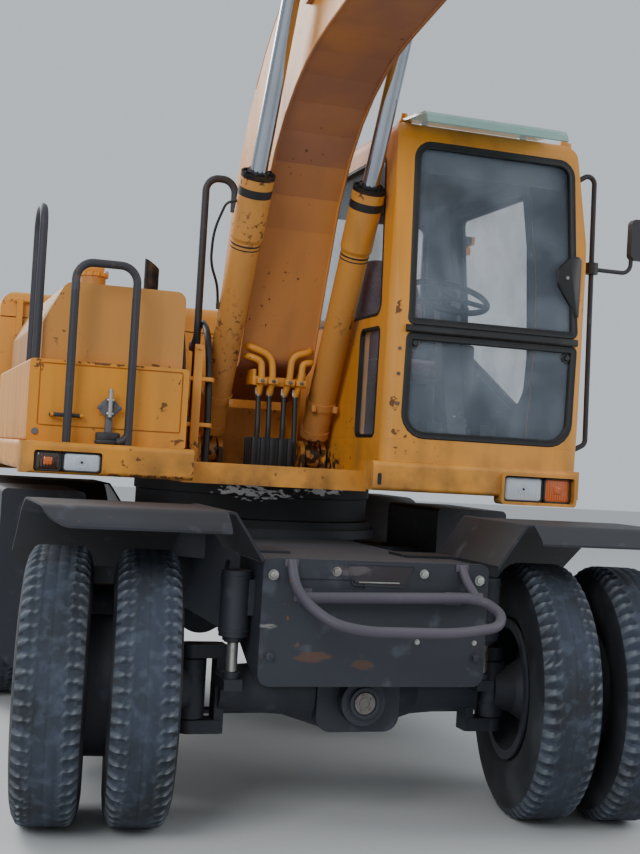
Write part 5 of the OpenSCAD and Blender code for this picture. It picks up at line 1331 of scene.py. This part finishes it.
class EXCAVATOR_OT_door_handle(bpy.types.Operator):
    """Makes the cab door's grab handle and its two locks"""
    bl_idname = "excavator.door_handle"
    bl_label = "Door handle"

    def execute(self, context):
        bm = bmesh.new()
        low, high = HANDLE_ENDS_Z
        tube(bm, [(HANDLE_X - 26, HANDLE_Y, low), (HANDLE_X, HANDLE_Y, low), (HANDLE_X, HANDLE_Y, high),
                  (HANDLE_X - 26, HANDLE_Y, high)], 0.0102, 0.014)
        for z in DOOR_LOCKS_Z:
            place, _ = surface("cab_door", at(OUTSIDE, HANDLE_Y, z), LEFT)
            round_bar(bm, place - RIGHT * 0.001, place + RIGHT * 0.007, 0.018, 24, 0.015)
        piece("door_handle", bm, "cab_door", "plastic")
        return {"FINISHED"}


# ---------------------------------------------------------------- hood, counterweight and boom

# y and z of what sits on the hood's and the boxes' sides, and a lifting eye's bow as (back, up) in metres.
HOOD_LATCHES = ((690, 1500), (690, 1800), (1420, 1560))
HOOD_HINGES = ((640, 1480), (1440, 1800))
BOX_LATCHES = ((-120, 960), (120, 960))
EYES_X, EYES_Y, EYE_BOW = (-560, 560), 1820, ((0, -0.004), (0, 0.040), (0.030, 0.058), (0.060, 0.040), (0.060, -0.004))
WEIGHT_BOLTS = [(x, z) for x in (-700, 700) for z in (1300, 1900)]


class EXCAVATOR_OT_body_hardware(bpy.types.Operator):
    """Puts latches and hinges on the hood's doors and side boxes, and lifting eyes and bolts on the counterweight"""
    bl_idname = "excavator.body_hardware"
    bl_label = "Body hardware"

    def execute(self, context):
        latches, hinges, eyes, boxes = (bmesh.new() for _ in range(4))
        for side, look in ((-1, RIGHT), (1, LEFT)):
            for y, z in HOOD_LATCHES:
                place, _ = surface("hood", at(side * OUTSIDE, y, z), look)
                lug(latches, place, (0.006, 0.030, 0.012), 0.004)
                round_bar(latches, place - look * 0.002, place - look * 0.009, 0.009, 16)
            for y, z in HOOD_HINGES:
                place, _ = surface("hood", at(side * OUTSIDE, y, z), look)
                low = place - UP * 0.035
                round_bar(hinges, low, low + UP * 0.070, 0.009, 12)
                lug(hinges, place, (0.003, 0.026, 0.030), 0.002)
            for y, z in BOX_LATCHES:
                place, _ = surface("side_boxes", at(side * OUTSIDE, y, z), look)
                lug(boxes, place, (0.006, 0.018, 0.010), 0.003)
        for x in EYES_X:
            place, _ = surface("counterweight", at(x, EYES_Y, OUTSIDE), DOWN)
            sweep(eyes, [place + Vector((0, back, up)) for back, up in EYE_BOW], circle_profile(0.011, 12))
        for x, z in WEIGHT_BOLTS:
            place, normal = surface("counterweight", at(x, OUTSIDE, z), FRONT)
            hex_bolt(eyes, place, normal, 0.036)
        piece("body_latches", latches, "upper", "plastic")
        piece("side_box_latches", boxes, "chassis", "bolt steel")
        piece("body_hinges", hinges, "upper", "enamel")
        piece("lifting_eyes", eyes, "upper", "enamel")
        return {"FINISHED"}


# The bead's radius, its distance from the boom's middle, and its rows along the boom.
BEAD_R = 0.0065
BEAD_OFF_MIDDLE = 171
BEAD_ROWS_Y = range(-520, -3900, -130)


class EXCAVATOR_OT_weld_beads(bpy.types.Operator):
    """Lays the weld beads along the boom's lower and upper edges, where rays from below and above meet them"""
    bl_idname = "excavator.weld_beads"
    bl_label = "Weld beads"

    def execute(self, context):
        bm = bmesh.new()
        for side in (-1, 1):
            for z, look in ((UNDERNEATH, UP), (OVERHEAD, DOWN)):
                path = []
                for y in BEAD_ROWS_Y:
                    place, normal = surface("boom", at(GEAR_X + side * BEAD_OFF_MIDDLE, y, z), look)
                    path.append(place + normal * BEAD_R * 0.1)
                sweep(bm, path, circle_profile(BEAD_R, 8), look.cross(BACK))
        piece("boom_weld_beads", bm, "boom", "boom enamel")
        return {"FINISHED"}


# The pipes in pairs, their radius and lift off the boom, and the steps along it of their paths and clamps.
TOP_PIPES_X = ((-208, -180), (60, 88))
TOP_PIPE_R, TOP_PIPE_LIFT = 0.011, 0.012
TOP_PIPE_START_Y, TOP_PIPE_STEP, TOP_PIPE_STEPS = -420, 90, 36
TOP_CLAMP_START_Y, TOP_CLAMP_STEP, TOP_CLAMPS = -560, 560, 6
TOP_CLAMP_SIZE = (0.062, 0.030, 0.030)


class EXCAVATOR_OT_top_pipes(bpy.types.Operator):
    """Makes the four pipes along the boom's top with their clamps, and the pipes' end fittings"""
    bl_idname = "excavator.top_pipes"
    bl_label = "Top pipes"

    def execute(self, context):
        pipes, clamps = bmesh.new(), bmesh.new()
        for x in sum(TOP_PIPES_X, ()):
            path = []
            for i in range(TOP_PIPE_STEPS):
                place, normal = surface("boom", at(x, TOP_PIPE_START_Y - i * TOP_PIPE_STEP, OVERHEAD), DOWN)
                path.append(place + normal * (TOP_PIPE_R + TOP_PIPE_LIFT))
            sweep(pipes, path, circle_profile(TOP_PIPE_R, 12), RIGHT)
            for end, other in ((path[0], path[1]), (path[-1], path[-2])):
                run = (end - other).normalized()
                round_bar(clamps, end - run * 0.001, end + run * 0.030, TOP_PIPE_R * 1.7, 6)
                round_bar(clamps, end + run * 0.029, end + run * 0.055, TOP_PIPE_R * 1.25, 16)
        for pair in TOP_PIPES_X:
            for i in range(TOP_CLAMPS):
                spot = at(sum(pair) / 2, TOP_CLAMP_START_Y - i * TOP_CLAMP_STEP, OVERHEAD)
                place, normal = surface("boom", spot, DOWN)
                lean = Matrix((RIGHT, normal.cross(RIGHT).normalized(), normal)).transposed().to_4x4()
                size = Matrix.Diagonal((*TOP_CLAMP_SIZE, 1))
                rounded_cube(clamps, Matrix.Translation(place + normal * 0.014) @ lean @ size, 0.004)
                hex_bolt(clamps, place + normal * 0.029, normal, 0.012)
        piece("boom_top_pipes", pipes, "boom", "enamel")
        piece("boom_top_clamps", clamps, "boom", "steel")
        return {"FINISHED"}


# ---------------------------------------------------------------- seat

# The middle, the floor under the seat, the consoles, the corners of both cushions, and the cushions' form.
SEAT_X, SEAT_FOOT_Z, CONSOLE_TOP_Z = 720.5, 1489, 2006
CONSOLE_OFF_MIDDLE = 290
CUSHION = ((484, -328, 1788), (957, 148, 1916))
BACKREST = ((494, 110, 1850), (947, 225, 2466))
SEAT_SEAMS, SEAM_WIDTH, SEAT_CROWN = (-0.45, 0.45), 0.10, 0.16
BACKREST_FOOT_Z, BACKREST_LEAN = 1.85, 0.16


def pad(bm, low, high, axis):
    """A crowned cushion: a block between two corners whose faces bulge between their edges. It sinks along the seams
    in the face that looks along an axis."""
    block(bm, low, high)
    bmesh.ops.subdivide_edges(bm, edges=bm.edges, cuts=13, use_grid_fill=True)
    middle, half = (low + high) / 2, (high - low) / 2
    for vert in bm.verts:
        t = [(vert.co[i] - middle[i]) / half[i] for i in range(3)]
        for i in range(3):
            a, b = t[(i + 1) % 3], t[(i + 2) % 3]
            swell = (1 - a * a) * (1 - b * b)
            corner = 1 - 0.10 * (abs(a) ** 6 + abs(b) ** 6)
            vert.co[i] = middle[i] + half[i] * t[i] * (corner - SEAT_CROWN + SEAT_CROWN * swell)
        for seam in SEAT_SEAMS:
            gap = abs(t[0] - seam)
            if gap < SEAM_WIDTH and t[axis] > 0.5:
                vert.co[axis] -= half[axis] * 0.10 * (1 - gap / SEAM_WIDTH)


class EXCAVATOR_OT_seat(bpy.types.Operator):
    """Makes the driver's seat: two sewn cushions on a moulded base between two consoles"""
    bl_idname = "excavator.seat"
    bl_label = "Seat"

    def execute(self, context):
        base = bmesh.new()
        block(base, at(SEAT_X - 150, -230, SEAT_FOOT_Z), at(SEAT_X + 150, 130, 1786), 0.02)
        for x in (SEAT_X - CONSOLE_OFF_MIDDLE, SEAT_X + CONSOLE_OFF_MIDDLE):
            block(base, at(x - 55, -260, SEAT_FOOT_Z), at(x + 55, 170, CONSOLE_TOP_Z), 0.025)
            block(base, at(x - 42, -210, CONSOLE_TOP_Z - 2), at(x + 42, 130, CONSOLE_TOP_Z + 16), 0.008)
        piece("seat_base", base, "upper", "plastic", replaces="seat")
        cushion, back = bmesh.new(), bmesh.new()
        pad(cushion, *(at(*corner) for corner in CUSHION), 2)
        pad(back, *(at(*corner) for corner in BACKREST), 1)
        for vert in back.verts:
            vert.co.y += (vert.co.z - BACKREST_FOOT_Z) * BACKREST_LEAN - 0.01
        for name, bm in (("seat_cushion", cushion), ("seat_back", back)):
            made = piece(name, bm, "upper", "seat cloth", smooth_deg=60)
            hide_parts("seat")
        return {"FINISHED"}


# ---------------------------------------------------------------- stage

FLOOR_HALF = 40
SKY_LIGHT = 0.85
SOFTBOXES = (
    # name, place, aim, size and power
    ("key softbox", (-7.5, -8.0, 7.5), (0, 0, 1.4), 5.0, 700),
    ("side softbox", (8.5, -3.0, 6.0), (0, 0, 1.6), 5.0, 300),
    ("back softbox", (-5.0, 9.0, 7.5), (0, 0, 2.4), 5.0, 900),
)
SENSOR_MM = 36


def lay_floor():
    """A plain pale floor."""
    bm = bmesh.new()
    bmesh.ops.create_grid(bm, x_segments=1, y_segments=1, size=FLOOR_HALF)
    mesh = bpy.data.meshes.new("studio_floor")
    bm.to_mesh(mesh)
    bm.free()
    floor = bpy.data.objects.new("studio_floor", mesh)
    bpy.context.scene.collection.objects.link(floor)
    mesh.materials.append(Finish("pale studio floor", "#C9CBCC", 0.9).done())


def hang_lights():
    """A soft even sky and three softboxes."""
    world = bpy.data.worlds.new("soft studio")
    world.use_nodes = True
    sky = world.node_tree.nodes["Background"]
    sky.inputs[0].default_value = colour("#DDE4EA")
    sky.inputs[1].default_value = SKY_LIGHT
    bpy.context.scene.world = world
    for name, place, aim, size, power in SOFTBOXES:
        data = bpy.data.lights.new(name, "AREA")
        data.size = size
        data.energy = power
        light = bpy.data.objects.new(name, data)
        light.location = place
        light.rotation_euler = (Vector(aim) - Vector(place)).to_track_quat("-Z", "Y").to_euler()
        bpy.context.scene.collection.objects.link(light)


def set_camera():
    """The camera, low in front of the machine and beside its digging gear."""
    _, _, spot = settings()
    ahead = Vector((sin(spot.yaw) * cos(spot.pitch), cos(spot.yaw) * cos(spot.pitch), sin(spot.pitch)))
    level = Vector((cos(spot.yaw), -sin(spot.yaw), 0))
    below = ahead.cross(level)
    across = cos(spot.roll) * level - sin(spot.roll) * below
    down = sin(spot.roll) * level + cos(spot.roll) * below
    data = bpy.data.cameras.new("camera")
    data.sensor_fit = "VERTICAL"
    data.sensor_height = SENSOR_MM
    data.lens = SENSOR_MM * spot.focal
    camera = bpy.data.objects.new("camera", data)
    place = Vector((SLEW.x + spot.x, SLEW.y + spot.y, spot.z))
    camera.matrix_world = Matrix.Translation(place) @ Matrix((across, -down, -ahead)).transposed().to_4x4()
    bpy.context.scene.collection.objects.link(camera)
    bpy.context.scene.camera = camera


class EXCAVATOR_OT_stage(bpy.types.Operator):
    """Sets the pale floor, the soft studio lights and the camera"""
    bl_idname = "excavator.stage"
    bl_label = "Stage"

    def execute(self, context):
        lay_floor()
        hang_lights()
        set_camera()
        return {"FINISHED"}


class EXCAVATOR_OT_finishes(bpy.types.Operator):
    """Makes the materials and gives each solid of the frame its finish"""
    bl_idname = "excavator.finishes"
    bl_label = "Finishes"

    def execute(self, context):
        make_materials()
        finish_nodes()
        return {"FINISHED"}


OPERATORS = (
    EXCAVATOR_OT_finishes,
    EXCAVATOR_OT_stage,
    EXCAVATOR_OT_tyres,
    EXCAVATOR_OT_wheel_nuts,
    EXCAVATOR_OT_window_seals,
    EXCAVATOR_OT_lamps,
    EXCAVATOR_OT_front_plate,
    EXCAVATOR_OT_front_step,
    EXCAVATOR_OT_boom_pipes,
    EXCAVATOR_OT_hoses,
    EXCAVATOR_OT_cylinder_heads,
    EXCAVATOR_OT_pin_caps,
    EXCAVATOR_OT_hasp,
    EXCAVATOR_OT_cab_fittings,
    EXCAVATOR_OT_small_trim,
    EXCAVATOR_OT_mirror,
    EXCAVATOR_OT_tail_lamps,
    EXCAVATOR_OT_door_handle,
    EXCAVATOR_OT_top_pipes,
    EXCAVATOR_OT_body_hardware,
    EXCAVATOR_OT_weld_beads,
    EXCAVATOR_OT_seat,
)


class EXCAVATOR_PT_panel(bpy.types.Panel):
    """Lists the sizes, the colours, the camera's place and the operators"""
    bl_idname = "EXCAVATOR_PT_panel"
    bl_label = "Wheeled excavator"
    bl_space_type = "VIEW_3D"
    bl_region_type = "UI"
    bl_category = "Excavator"

    def draw(self, context):
        for group in settings():
            for name in group.bl_rna.properties.keys():
                if name not in ("rna_type", "name"):
                    self.layout.prop(group, name)
        for operator in OPERATORS:
            self.layout.operator(operator.bl_idname)


CLASSES = (TyreSizes, FinishColours, CameraPlace) + OPERATORS + (EXCAVATOR_PT_panel,)


def register():
    for one in CLASSES:
        bpy.utils.register_class(one)
    bpy.types.Scene.excavator_tyre = PointerProperty(type=TyreSizes)
    bpy.types.Scene.excavator_colours = PointerProperty(type=FinishColours)
    bpy.types.Scene.excavator_camera = PointerProperty(type=CameraPlace)


def unregister():
    del bpy.types.Scene.excavator_camera
    del bpy.types.Scene.excavator_colours
    del bpy.types.Scene.excavator_tyre
    for one in reversed(CLASSES):
        bpy.utils.unregister_class(one)


def main():
    register()
    for operator in OPERATORS:
        group, name = operator.bl_idname.split(".")
        getattr(getattr(bpy.ops, group), name)()


if __name__ == "__main__":
    main()
